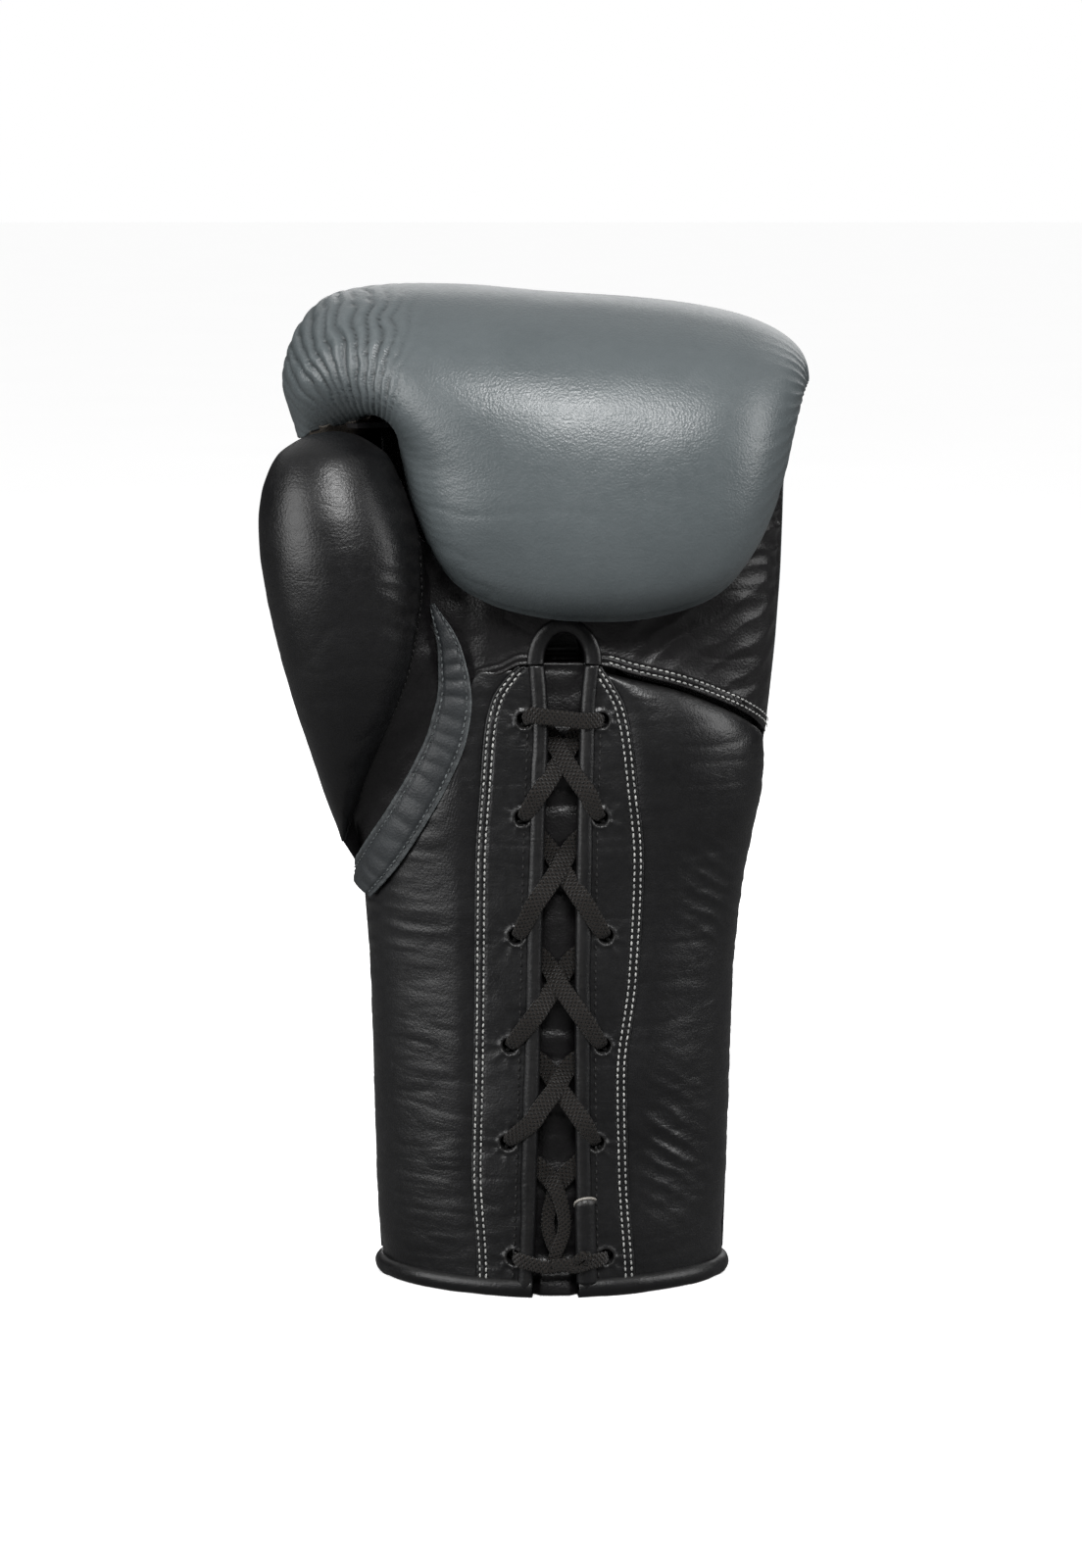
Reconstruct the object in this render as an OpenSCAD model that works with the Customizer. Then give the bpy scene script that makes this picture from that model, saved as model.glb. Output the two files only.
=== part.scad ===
// Lace-up boxing glove, left hand. Stands on the cuff's hem at z = 0, palm towards -Y, thumb towards -X.
// Leather, foam and lining are nested patches of two surfaces: the cuff and palm tube, and the fist wrap.

/* [Cuff] */
// half width of the cuff at the foot
cuff_half_w = 56; // [54:0.5:58]
// half depth of the cuff, front
cuff_front_d = 38; // [37:0.5:39]
// half depth of the cuff, back
cuff_back_d = 36; // [35:0.5:38]
// half the gap between the slit's bound edges
slit_half_w = 6; // [5.5:0.25:6.5]
// where the slit's centre line sits
slit_x = 2; // [1.5:0.25:2.5]

/* [Fist] */
// height of the axis the fist wraps round
pivot_z = 262; // [260:0.5:264]
// depth of that axis
pivot_y = -8; // [-9:0.5:-7]
// share of the padding taken by the firm outer foam
outer_share = 0.45; // [0.35:0.05:0.6]

/* [Layers] */
// thickness of the leather
leather_t = 1.3; // [1:0.1:1.4]
// space left between two layers
layer_gap = 0.4; // [0.35:0.05:0.5]
// thickness of the fabric lining
lining_t = 0.8; // [0.6:0.1:1]
// thickness of the cuff's padding
wrist_pad_t = 5; // [4:0.5:5.5]

/* [Lacing] */
// radius of a punched lace hole
hole_r = 2.4; // [2.3:0.05:2.6]
// width of the lace where it is flat
lace_w = 5; // [4:0.5:5.5]
// thickness of the lace
lace_t = 1; // [0.8:0.1:1.1]

/* [Grip] */
// radius of the foam grip bar
grip_r = 8; // [6:0.5:8.5]

/* [Hidden] */

hole_z = [186, 155.5, 117.5, 82, 50.5, 16];      // rows of lace holes
hole_dx = [12, 12.2, 14, 14.8, 14.2, 14.5];       // hole distance from the slit's centre line
seam_z = 130;                                     // back seam between cuff and fist leather
grey = [0.36, 0.39, 0.40];
black = [0.09, 0.09, 0.10];
foam = [0.80, 0.78, 0.70];
cloth = [0.16, 0.16, 0.17];
cord = [0.14, 0.12, 0.10];

// ---- the cuff and palm tube: a goes round from the front, t goes in from the outside ----
function left_w(z) = lookup(z, [[0, cuff_half_w], [60, 57], [100, 58], [120, 60], [140, 63],
  [160, 65], [190, 68], [230, 72], [262, 73], [290, 74]]);
function right_w(z) = lookup(z, [[0, cuff_half_w], [60, 57.8], [100, 59], [120, 60.5], [160, 66],
  [193, 70], [237, 73], [262, 73.5], [290, 74]]);
function mid_y(z) = lookup(z, [[130, 0], [262, pivot_y]]);
function front_d(z) = cuff_front_d - lookup(z, [[150, 0], [215, 1]]) + mid_y(z);
function back_d(z) = lookup(z, [[0, cuff_back_d], [60, 37], [110, 38], [140, 41], [180, 48],
  [220, 53], [262, 54]]) - mid_y(z);
function round_n(z) = lookup(z, [[0, 1.75], [100, 1.8], [160, 2.1], [250, 2.4]]);
function dome(s, n) = pow(max(0, 1 - pow(min(1, abs(s)), n)), 1 / n);
function tube(a, z, t) = let (s = sin(a), f = cos(a) >= 0)
  [(s < 0 ? left_w(z) - t : right_w(z) - t) * s,
   mid_y(z) + (f ? t - front_d(z) : back_d(z) - t) * dome(s, round_n(z)), z];
// the angle at which the tube's front reaches x
function at_x(x, z, t = 0) = let (q = x / ((x < 0 ? left_w(z) : right_w(z)) - t)) asin(max(-0.995, min(0.995, q)));

// ---- the fist wrap: u < 0 climbs the back, u >= 0 turns round the pivot; v goes across ----
function wrap_r(u) = lookup(u, [[0, 54 - pivot_y], [30, 64], [60, 60.5], [90, 58], [120, 60.5], [150, 64],
  [180, 62], [195, 63], [210, 64], [222, 61.5], [235, 52]]);
function wrap_l(u) = lookup(u, [[0, 73], [30, 80], [60, 87], [90, 89.5], [120, 85], [150, 66],
  [180, 50], [235, 48]]);
function wrap_rt(u) = lookup(u, [[0, 73.5], [30, 77], [60, 80], [90, 81.5], [120, 81], [150, 79],
  [180, 76.5], [235, 75]]);
function wrap_mid(u) = lookup(u, [[0, 0], [90, -3], [150, 6], [180, 12], [235, 14]]);
function wrap_n(u) = lookup(u, [[0, 2.4], [60, 2.7], [90, 2.8], [180, 2.7], [225, 2.5]]);
function lift(u) = lookup(u, [[0, 0], [45, 20], [90, 25]]);
function lean(u) = lookup(u, [[0, 0], [60, 0.08], [90, 0.1], [120, 0.08], [180, 0]]);
function pad_t(u) = u < 0 ? lookup(u, [[-132, 8], [-80, 14], [-40, 20], [0, 23]])
  : lookup(u, [[0, 23], [45, 32], [90, 34], [135, 32], [180, 26], [235, 20]]);
function wrap(u, v, t) = u < 0 ? tube(180 - v, pivot_z + u, t)
  : let (s = sin(v), m = wrap_mid(u), k = t > 3 ? 0.8 * t + 0.6 : t,
         w = s < 0 ? wrap_l(u) + m - k : wrap_rt(u) - m - k,
         c = dome(s, wrap_n(u)), r = (wrap_r(u) * (1 - lean(u) * s) - t) * c)
  [m + w * s, pivot_y + r * cos(u), pivot_z + lift(u) * (1 - c) + r * sin(u)];

// ---- a point on the tube's front, given x instead of the angle ----
function face(x, z, t) = tube(at_x(x, z, t), z, t);

function steps(a, b, n) = [for (i = [0:n]) a + (b - a) * i / n];
function cap_v(u) = lookup(u, [[0, 89.9], [30, 88.2]]);
wrap_u = concat(steps(seam_z + 2 - pivot_z, -12, 6), steps(0, 235, 20));
function wrap_v(u) = u < 0 ? 88.8 : lookup(u, [[0, 88.8], [45, 78]]);
function wrap_grid(t0) = [for (u = wrap_u) [for (k = steps(-1, 1, 16)) wrap(u, k * wrap_v(u), t0)]];
function wrap_pad_grid(f, d) = [for (u = wrap_u) [for (k = steps(-1, 1, 16))
  wrap(u, k * wrap_v(u), pad_t(u) * f + d)]];

// a closed solid between an outer and an inner grid of points
module skin(o, i) {
  r = len(o); c = len(o[0]); n = r * c;
  body = [for (y = [0:r - 2]) for (x = [0:c - 2]) let (p = y * c + x)
    each [[p, p + 1, p + c + 1], [p, p + c + 1, p + c],
          [n + p, n + p + c + 1, n + p + 1], [n + p, n + p + c, n + p + c + 1]]];
  ends = [for (x = [0:c - 2]) let (q = (r - 1) * c + x)
    each [[x, n + x, n + x + 1], [x, n + x + 1, x + 1], [q, n + q + 1, n + q], [q, q + 1, n + q + 1]]];
  sides = [for (y = [0:r - 2]) let (p = y * c, q = y * c + c - 1)
    each [[p, p + c, n + p + c], [p, n + p + c, n + p], [q, n + q + c, q + c], [q, n + q, n + q + c]]];
  polyhedron(concat([for (l = o) each l], [for (l = i) each l]), concat(body, ends, sides));
}

// part of the fist wrap between two fractions of its padding
module wrap_layer(f0, d0, f1, d1) skin(wrap_pad_grid(f1, d1), wrap_pad_grid(f0, d0));
module wrap_cap(side) skin(
  [for (u = steps(0, 235, 20)) [for (k = [0, 0.35, 0.7, 1])
    wrap(u, side * ((wrap_v(u) + 0.8) * (1 - k) + cap_v(u) * k), leather_t)]],
  [for (u = steps(0, 235, 20)) [for (k = [0, 0.35, 0.7, 1])
    wrap(u, side * ((wrap_v(u) + 0.8) * (1 - k) + cap_v(u) * k), 0)]]);

// part of the tube: angles a (list), z from low(a) to high(a), between depths t0 and t1
module ring(rows, t0, t1) skin([for (l = rows) [for (p = l) tube(p[0], p[1], t1)]],
                               [for (l = rows) [for (p = l) tube(p[0], p[1], t0)]]);
function rows_back(z0, z1, n, a0 = 91, a1 = 269) =
  [for (z = steps(z0, z1, n)) [for (a = steps(a0, a1, 12)) [a, z]]];

// ---- boundaries on the front ----
function crescent_r(z) = lookup(z, [[137, -52], [156, -36], [175, -28.5], [197, -24.6], [215, -28],
  [228, -35]]);
function left_top(a) = lookup(a, [[-89, 127], [-62, 128], [-50, 134], [-40, 142], [-32, 150], [-24, 166]]);
function right_top(a) = lookup(a, [[18, 197.5], [33, 194], [50, 188], [89, 176]]);
function palm_top(a) = lookup(a, [[35, 219.8], [45, 222], [55, 230], [65, 246], [75, 260], [89, 280]]);
function palm_low(x) = lookup(x, [[-22, 189], [-17, 197.5], [-11.2, 206], [-10.9, 219.2], [14.9, 219.2],
  [15.2, 206.5], [19, 203.5], [26, 199.5]]);
// the foot of the cuff is thin, the padding swells above it
function lining_d(z) = lookup(z, [[0, 2.4], [22, leather_t + wrist_pad_t + 2 * layer_gap + 0.8],
  [400, leather_t + wrist_pad_t + 2 * layer_gap + 0.8]]);

function flap_rows(side, z0, k, inner = 27) =
  [for (f = steps(0, 1, 9)) [for (g = steps(0, 1, 6))
    let (x = slit_x + side * inner, z = z0 + ((side > 0 ? 196 : 166) - z0) * f,
         a_in = at_x(x, z), a = side > 0 ? a_in + (88.8 - a_in) * g : -88.8 + (a_in + 88.8) * g,
         top = (side > 0 ? right_top(a) : left_top(a)) - k)
    [a, z0 + (top - z0) * f]]];

module flap_panel(side) ring(flap_rows(side, 6.4, 0), 0, leather_t);
module flap_pad(side) let (r = flap_rows(side, 24, 7, 29)) skin(
  [for (l = r) [for (p = l) tube(p[0], p[1], lining_d(p[1]) - layer_gap)]],
  [for (l = r) [for (p = l) tube(p[0], p[1], leather_t + layer_gap)]]);
module flap_lining(side) let (r = flap_rows(side, 6.4, 7, 29)) skin(
  [for (l = r) [for (p = l) tube(p[0], p[1], lining_d(p[1]) + lining_t)]],
  [for (l = r) [for (p = l) tube(p[0], p[1], lining_d(p[1]))]]);

// strip on the front between two x lines (lists of [x0, x1, z])
module strip(rows, t0, t1) skin([for (r = rows) [for (x = [r[0], r[1]]) face(x, r[2], t1)]],
                                [for (r = rows) [for (x = [r[0], r[1]]) face(x, r[2], t0)]]);
function edge_w(z) = slit_half_w + lookup(z, [[0, 1], [20, 0.5], [60, 0], [178, 0], [196, 2], [204, 2.6]]);
function facing_rows(side) = [for (z = [6.4, 60, 120, 160, 178, 192, 200]) let (
  x0 = slit_x + side * (edge_w(z) + 4.2), x1 = slit_x + side * lookup(z, [[178, 26.4], [192, 20], [200, 14.5]]))
  side > 0 ? [x0, x1, z] : [x1, x0, z]];
module facing(side) difference() {
  strip(facing_rows(side), 0, 2);
  for (i = [0:5]) translate([slit_x + side * hole_dx[i], 0, hole_z[i]]) rotate([90, 0, 0])
    cylinder(r = hole_r, h = 60, $fn = 48);
}
module binding(side) strip([for (z = [6.4, 20, 60, 120, 178, 188, 196, 204]) let (
  x0 = slit_x + side * edge_w(z), x1 = slit_x + side * (edge_w(z) + 3.9))
  side > 0 ? [x0, x1, z] : [x1, x0, z]], -0.8, 2.8);
module hem(a0, a1, n) ring([for (z = [0, 3, 6]) [for (a = steps(a0, a1, n)) [a, z]]], -0.8, 4);

// ---- fist ----
module fist_shell() color(grey) skin(wrap_grid(leather_t), wrap_grid(0));
module side_panel_right() color(black) wrap_cap(1);
module side_panel_left() color(black) mirror([0, 0, 0]) skin(
  [for (u = steps(0, 235, 20)) [for (k = [1, 0.7, 0.35, 0])
    wrap(u, -(wrap_v(u) + 0.8) * (1 - k) - cap_v(u) * k, leather_t)]],
  [for (u = steps(0, 235, 20)) [for (k = [1, 0.7, 0.35, 0])
    wrap(u, -(wrap_v(u) + 0.8) * (1 - k) - cap_v(u) * k, 0)]]);
module knuckle_foam() color(foam) wrap_layer(0, leather_t + layer_gap + 1.5, outer_share, 0);
module inner_foam() color(foam * 0.9) wrap_layer(outer_share, layer_gap, 1, 0);
module fist_lining() color(cloth) wrap_layer(1, layer_gap, 1, layer_gap + lining_t);

// ---- palm ----
palm_x = [-22, -17, -11.2, -10.9, 2, 14.9, 15.2, 19, 26];
module palm_layer(t0, t1, up) let (cols = concat([for (x = palm_x) [at_x(x, 205), palm_low(x) + up]],
    [for (a = steps(28, 88.8, 8)) [a, right_top(a) + 2.5 + up]]))
  ring([for (f = steps(0, 1, 6)) [for (q = cols) let (lo = q[1], hi = max(palm_top(q[0]), lo + 0.6))
    [q[0], lo + (hi - lo) * f]]], t0, t1);
module palm_panel() color(black) palm_layer(0, leather_t, 0);
module palm_foam() color(foam) palm_layer(leather_t + 0.8, 3.6, 0.3);
module palm_lining() color(cloth) palm_layer(4.2, 5, 0.3);
module grip_bar() color(black) translate([3, -20.5, 221]) rotate([0, 90, 0])
  cylinder(r = grip_r, h = 64, center = true, $fn = 48);
module thumb_web() color(black) let (w = function (k, z, t)
  [-39 - 29 * k + 0.6 * t, -29 + 22 * k + 0.8 * t, z])
  skin([for (f = steps(0, 1, 3)) [for (k = steps(1, 0, 4)) w(k, 198 + (18 + 44 * k) * f, leather_t)]],
       [for (f = steps(0, 1, 3)) [for (k = steps(1, 0, 4)) w(k, 198 + (18 + 44 * k) * f, 0)]]);

// ---- thumb ----
thumb_z = [150, 158, 168, 180, 192, 204, 216, 228, 240, 250, 258, 264, 269, 273, 276];
function thumb_cx(z) = lookup(z, [[150, -61.5], [180, -63.5], [204, -65], [228, -66], [276, -67]]);
function thumb_cy(z) = lookup(z, [[150, -24], [168, -31], [192, -37], [228, -39], [276, -38]]);
function thumb_rx(z) = lookup(z, [[150, 9.5], [158, 13], [168, 16], [180, 18.5], [192, 20.5], [204, 22],
  [228, 23.6], [240, 23.8], [250, 22.8], [258, 20.4], [264, 17.6], [269, 14], [273, 9.8], [276, 4]]);
function thumb_p(a, z, t) = let (k = min(1, thumb_rx(z) / 24), r = max(1.2, thumb_rx(z) - t * (0.25 + 0.75 * k)))
  [thumb_cx(z) + r * cos(a), thumb_cy(z) + r * sin(a) * 1.02, z - max(0, z - 250) / 26 * t];
function thumb_a(z) = let (h = lookup(z, [[150, 52], [180, 52], [192, 34], [204, 1.5], [276, 1.5]]))
  steps(405 - h, 45 + h, 22);
module thumb_layer(t0, t1) skin([for (z = thumb_z) [for (a = thumb_a(z)) thumb_p(a, z, t1)]],
                                [for (z = thumb_z) [for (a = thumb_a(z)) thumb_p(a, z, t0)]]);
module thumb_shell() color(black) thumb_layer(0, leather_t);
module thumb_foam() color(foam) thumb_layer(leather_t + layer_gap, 9);
module thumb_lining() color(cloth) thumb_layer(9 + layer_gap, 9 + layer_gap + lining_t);
function strip_mid(k) = [lookup(k, [[0, -61], [0.2, -51], [0.4, -41], [0.6, -34.5], [0.8, -32], [1, -36]]),
                         lookup(k, [[0, 137], [0.2, 145], [0.4, 157], [0.6, 175], [0.8, 197], [1, 218]])];
module thumb_crescent() color(grey) let (g = steps(0, 1, 12), q = function (k, s, t)
    let (m = strip_mid(k), d = strip_mid(min(1, k + 0.05)) - strip_mid(max(0, k - 0.05)), n = d / norm(d),
         x = m[0] + s * n[1] * 6, z = m[1] - s * n[0] * 6) face(x, z, t))
  skin([for (k = g) [for (s = [-1, 0, 1]) q(k, s, leather_t)]], [for (k = g) [for (s = [-1, 0, 1]) q(k, s, 0)]]);
module thumb_gusset() color(black) let (g = steps(0, 1, 9), q = function (k, e, t)
    let (m = strip_mid(0.3 + 0.7 * k), z = 163 + 64 * k, near = thumb_p(-12, z, -1.4 - leather_t + t),
         far = face(m[0] - lookup(k, [[0, 7], [1, 7.6]]), m[1] + 5 * (1 - k), 2.7 + t)) near * e + far * (1 - e))
  skin([for (k = g) [for (e = [1, 0.5, 0]) q(k, e, leather_t)]], [for (k = g) [for (e = [1, 0.5, 0]) q(k, e, 0)]]);
module thumb_tether() color(black) translate([-58, -28.4, 277.5]) rotate([0, 0, 35])
  translate([0, 0, 1.2]) cube([12, 6, 1.4], center = true);

// ---- cuff ----
module cuff_panel_left() color(black) flap_panel(-1);
module cuff_panel_right() color(black) flap_panel(1);
module cuff_back_panel() color(black) ring(rows_back(6.4, seam_z - 0.5, 9), 0, leather_t);
module wrist_patch() color(grey) ring([for (z = steps(30, 92, 5)) [for (a = steps(150.333, 209.667, 4))
  [a, z]]], -1.9, -0.6);
module wrist_pad_left() color(foam) flap_pad(-1);
module wrist_pad_right() color(foam) flap_pad(1);
module wrist_pad_back() color(foam) let (r = rows_back(24, seam_z - 0.5, 8)) skin(
  [for (l = r) [for (p = l) tube(p[0], p[1], lining_d(p[1]) - layer_gap)]],
  [for (l = r) [for (p = l) tube(p[0], p[1], leather_t + layer_gap)]]);
module cuff_lining_left() color(cloth) flap_lining(-1);
module cuff_lining_right() color(cloth) flap_lining(1);
module cuff_lining_back() color(cloth) let (r = rows_back(6.4, seam_z - 0.5, 9)) skin(
  [for (l = r) [for (p = l) tube(p[0], p[1], lining_d(p[1]) + lining_t)]],
  [for (l = r) [for (p = l) tube(p[0], p[1], lining_d(p[1]))]]);
module lace_facing_left() color(black) facing(-1);
module lace_facing_right() color(black) facing(1);
module edge_binding_left() color(black) binding(-1);
module edge_binding_right() color(black) binding(1);
module hem_binding_left() color(black) hem(-88.8, at_x(slit_x - edge_w(0), 0), 8);
module hem_binding_right() color(black) hem(at_x(slit_x + edge_w(0), 0), 88.8, 8);
module hem_binding_back() color(black) hem(91, 269, 14);
module slit_top_binding() color(black) let (p = function (a, r, t) let (q = [slit_x + (8.4 + r) * cos(a),
    206 + (9 + r) * sin(a)]) face(q[0], q[1], t))
  skin([for (a = steps(0, 180, 12)) [for (r = [0, 3.6]) p(a, r, 2.8)]],
       [for (a = steps(0, 180, 12)) [for (r = [0, 3.6]) p(a, r, -0.8)]]);
module tongue() color(black) skin(
  [for (z = steps(3, 204, 8)) [for (x = steps(-16, 20, 4)) face(x, z, 9.5)]],
  [for (z = steps(3, 204, 8)) [for (x = steps(-16, 20, 4)) face(x, z, 7.3)]]);

// ---- lace: one flat strip, width w and thickness lace_t, along [x, t, z, w] stations ----
function hx(s, i) = slit_x + s * hole_dx[i];
// one crossing: out of hole i from behind, through the slit, over the far edge and into hole i + 1
function strand(s, i, d) = [[hx(s, i) - s * 3, 3.9, hole_z[i] - 4, 4], [slit_x + s * 3.7, 3.9, hole_z[i] - 12, 4],
  [slit_x + s * 1.6, 1.6 + d, hole_z[i] - 14.6, 4], [slit_x - s * 1.8, 0.6 + d, hole_z[i] - 17.4, 4],
  [slit_x - s * 4.4, -2.1, (hole_z[i] - 17.4 + hole_z[i + 1] + 5.5) / 2, 4], [slit_x - s * 7.6, -2.1, hole_z[i + 1] + 5.5, lace_w],
  [hx(-s, i + 1) + s, -1.9, hole_z[i + 1] + 1.2, 3], [hx(-s, i + 1), -0.4, hole_z[i + 1], 2.6],
  [hx(-s, i + 1), 3.8, hole_z[i + 1] - 0.2, 2.6]];
function run(s, d) = [for (i = [0:4]) each strand(i % 2 == 0 ? s : -s, i, (i % 2 == 0 ? d : -d))];
function top_bar(s) = [[slit_x + s * 6, -2.1, hole_z[0] + 0.6, lace_w],
  [hx(s, 0) - s, -1.9, hole_z[0] + 0.2, 3], [hx(s, 0), -0.4, hole_z[0], 2.6],
  [hx(s, 0), 3.8, hole_z[0] - 0.2, 2.6]];
function turn(l) = [for (i = [len(l) - 1:-1:0]) l[i]];
lace_path = concat(turn(concat(top_bar(-1), run(-1, 1))), [[slit_x, -2.3, hole_z[0] + 1, lace_w]],
  concat(top_bar(1), run(1, -1)));
module lace() color(cord) let (n = len(lace_path), c = [for (q = lace_path) face(q[0], q[2], q[1])],
    d = [for (i = [0:n - 1]) let (e = c[min(n - 1, i + 1)] - c[max(0, i - 1)]) e / norm(e)],
    w = [for (i = [0:n - 1]) let (m = cross([0, 1, 0], d[i])) norm(m) > 0.35 ? m / norm(m) : [0, 0, 1]],
    f = [for (i = [0:n - 1]) cross(w[i], d[i])])
  skin([for (i = [0:n - 1]) [for (k = [-1, 1]) c[i] + w[i] * k * lace_path[i][3] / 2 - f[i] * lace_t / 2]],
       [for (i = [0:n - 1]) [for (k = [-1, 1]) c[i] + w[i] * k * lace_path[i][3] / 2 + f[i] * lace_t / 2]]);
module lace_tips() color(cord * 0.8) for (s = [-1, 1]) translate([hx(s, 5), -30.6 + 0.3, hole_z[5] - 0.2])
  rotate([0, 0, 0]) translate([0, 0, -4]) cylinder(r = 1.3, h = 14, $fn = 24);

fist_shell();
side_panel_right();
side_panel_left();
knuckle_foam();
inner_foam();
fist_lining();
palm_panel();
palm_foam();
palm_lining();
grip_bar();
thumb_web();
thumb_shell();
thumb_foam();
thumb_lining();
thumb_gusset();
thumb_crescent();
thumb_tether();
cuff_panel_left();
cuff_panel_right();
cuff_back_panel();
wrist_patch();
wrist_pad_left();
wrist_pad_right();
wrist_pad_back();
cuff_lining_left();
cuff_lining_right();
cuff_lining_back();
lace_facing_left();
lace_facing_right();
edge_binding_left();
edge_binding_right();
slit_top_binding();
tongue();
lace();
lace_tips();
hem_binding_left();
hem_binding_right();
hem_binding_back();
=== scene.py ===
# Looks of the lace-up boxing glove. Shapes are in millimetres in the CAD's frame; obj() scales them to metres.
import bmesh, bpy, math
import numpy as np
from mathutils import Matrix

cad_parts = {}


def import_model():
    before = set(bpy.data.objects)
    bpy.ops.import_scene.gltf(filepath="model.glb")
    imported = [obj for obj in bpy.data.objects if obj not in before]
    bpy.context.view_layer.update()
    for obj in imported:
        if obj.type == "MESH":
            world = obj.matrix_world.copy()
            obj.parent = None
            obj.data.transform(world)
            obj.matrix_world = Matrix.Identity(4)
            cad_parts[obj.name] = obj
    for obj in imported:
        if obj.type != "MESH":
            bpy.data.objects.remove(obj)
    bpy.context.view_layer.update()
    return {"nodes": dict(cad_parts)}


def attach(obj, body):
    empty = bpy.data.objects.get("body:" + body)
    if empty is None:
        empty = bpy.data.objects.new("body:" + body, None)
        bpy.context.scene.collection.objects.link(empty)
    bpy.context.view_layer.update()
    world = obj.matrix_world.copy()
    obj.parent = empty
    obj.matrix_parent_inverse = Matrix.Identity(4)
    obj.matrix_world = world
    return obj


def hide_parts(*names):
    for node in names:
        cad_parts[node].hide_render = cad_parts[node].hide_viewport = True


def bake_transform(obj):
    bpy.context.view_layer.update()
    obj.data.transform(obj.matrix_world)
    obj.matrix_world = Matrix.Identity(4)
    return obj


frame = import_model()
NODES = frame["nodes"]
ROOT, FL, FR, TH, TO = "hand_body", "flap_left", "flap_right", "thumb", "tongue"


# ---------------------------------------------------------------- maths
def crv(*tab):
    """Smooth monotone curve through (x, y) points."""
    xs, ys = np.array(tab, float).T
    h = np.diff(xs); d = np.diff(ys) / h
    mid = [2 * a * b / (a + b) if a * b > 0 else 0.0 for a, b in zip(d[1:], d[:-1])]
    m = np.array([d[0]] + mid + [d[-1]])

    def f(x):
        x = np.clip(np.asarray(x, float), xs[0], xs[-1])
        i = np.clip(np.searchsorted(xs, x, side="right") - 1, 0, len(h) - 1)
        t = (x - xs[i]) / h[i]
        return ((2 * t**3 - 3 * t**2 + 1) * ys[i] + (t**3 - 2 * t**2 + t) * h[i] * m[i]
                + (-2 * t**3 + 3 * t**2) * ys[i + 1] + (t**3 - t**2) * h[i] * m[i + 1])
    return f


def sstep(a, b, x):
    t = np.clip((np.asarray(x, float) - a) / (b - a), 0, 1)
    return t * t * (3 - 2 * t)


def bump(x, c, w):
    return np.exp(-((np.asarray(x, float) - c) / w) ** 2)


def vnoise(P, seed=0):
    """Smooth value noise in 0..1 at points P (..., 3)."""
    P = np.asarray(P, float) + 1000.0
    i = np.floor(P).astype(np.int64); f = P - i
    f = f * f * f * (f * (f * 6 - 15) + 10)
    out = 0
    for dx in (0, 1):
        for dy in (0, 1):
            for dz in (0, 1):
                n = ((i[..., 0] + dx) * 73856093) ^ ((i[..., 1] + dy) * 19349663) ^ ((i[..., 2] + dz)
                    * 83492791)
                n = (n + seed * 7919) & 0xFFFFFFFF
                n = ((n ^ (n >> 15)) * 2246822519) & 0xFFFFFFFF
                n = ((n ^ (n >> 13)) * 3266489917) & 0xFFFFFFFF
                h = ((n ^ (n >> 16)) & 0xFFFFFF) / float(0xFFFFFF)
                out = out + h * (f[..., 0] if dx else 1 - f[..., 0]) * (f[..., 1] if dy else 1 - f[..., 1]) \
                    * (f[..., 2] if dz else 1 - f[..., 2])
    return out


def fbm(P, s, seed=0, octaves=3):
    s = np.array(s, float)
    v, a, n = 0, 1.0, 0
    for o in range(octaves):
        v = v + a * vnoise(np.asarray(P) / s * 2**o, seed + o); n += a; a *= 0.5
    return v / n


def crease(P, s, seed=0, sharp=6.0):
    """Thin crease lines: 1 on a line, 0 away from it."""
    n = fbm(P, s, seed, 2)
    return np.exp(-np.abs(n - 0.5) * 10 * sharp / 6)


# ---------------------------------------------------------------- the glove's surfaces (mm)
left_w = crv((0, 56.2), (30, 57.8), (60, 58.6), (100, 59.6), (120, 61), (140, 62.5), (160, 64.5), (190, 68),
    (230, 72), (262, 73), (290, 74))
right_w = crv((0, 56), (30, 57), (60, 57.8), (100, 59), (120, 60.5), (160, 66), (193, 70), (237, 73),
    (262, 73.5), (290, 74))
mid_y = crv((0, 0), (130, 0), (196, -4), (262, -8), (290, -8))
front_raw = crv((0, 38), (150, 38), (215, 37), (290, 37))
back_raw = crv((0, 36), (60, 37), (110, 38), (140, 41), (180, 48), (220, 53), (262, 54), (290, 54))
round_n = crv((0, 1.78), (100, 1.82), (160, 2.1), (250, 2.4), (290, 2.4))


def dome(s, n):
    return np.maximum(0, 1 - np.minimum(1, np.abs(s)) ** n) ** (1 / n)


def tube(a, z, t):
    """The hand and cuff: a in degrees from the palm side, t in mm below the leather's face."""
    a, z, t = np.broadcast_arrays(np.asarray(a, float), np.asarray(z, float), np.asarray(t, float))
    r = np.radians(a); s = np.sin(r); front = np.cos(r) >= 0
    w = np.where(s < 0, left_w(z), right_w(z)) - t
    my = mid_y(z)
    d = np.where(front, -(front_raw(z) + my - t), back_raw(z) - my - t)
    return np.stack([w * s, my + d * dome(s, round_n(z)), z], -1)


def at_x(x, z, t=0.0):
    """The angle round the cuff at which its face is at x."""
    x, z, t = np.broadcast_arrays(np.asarray(x, float), np.asarray(z, float), np.asarray(t, float))
    w = np.where(x < 0, left_w(z), right_w(z)) - t
    return np.degrees(np.arcsin(np.clip(x / w, -0.9985, 0.9985)))


def face(x, z, t):
    return tube(at_x(x, z, t), z, t)


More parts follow.
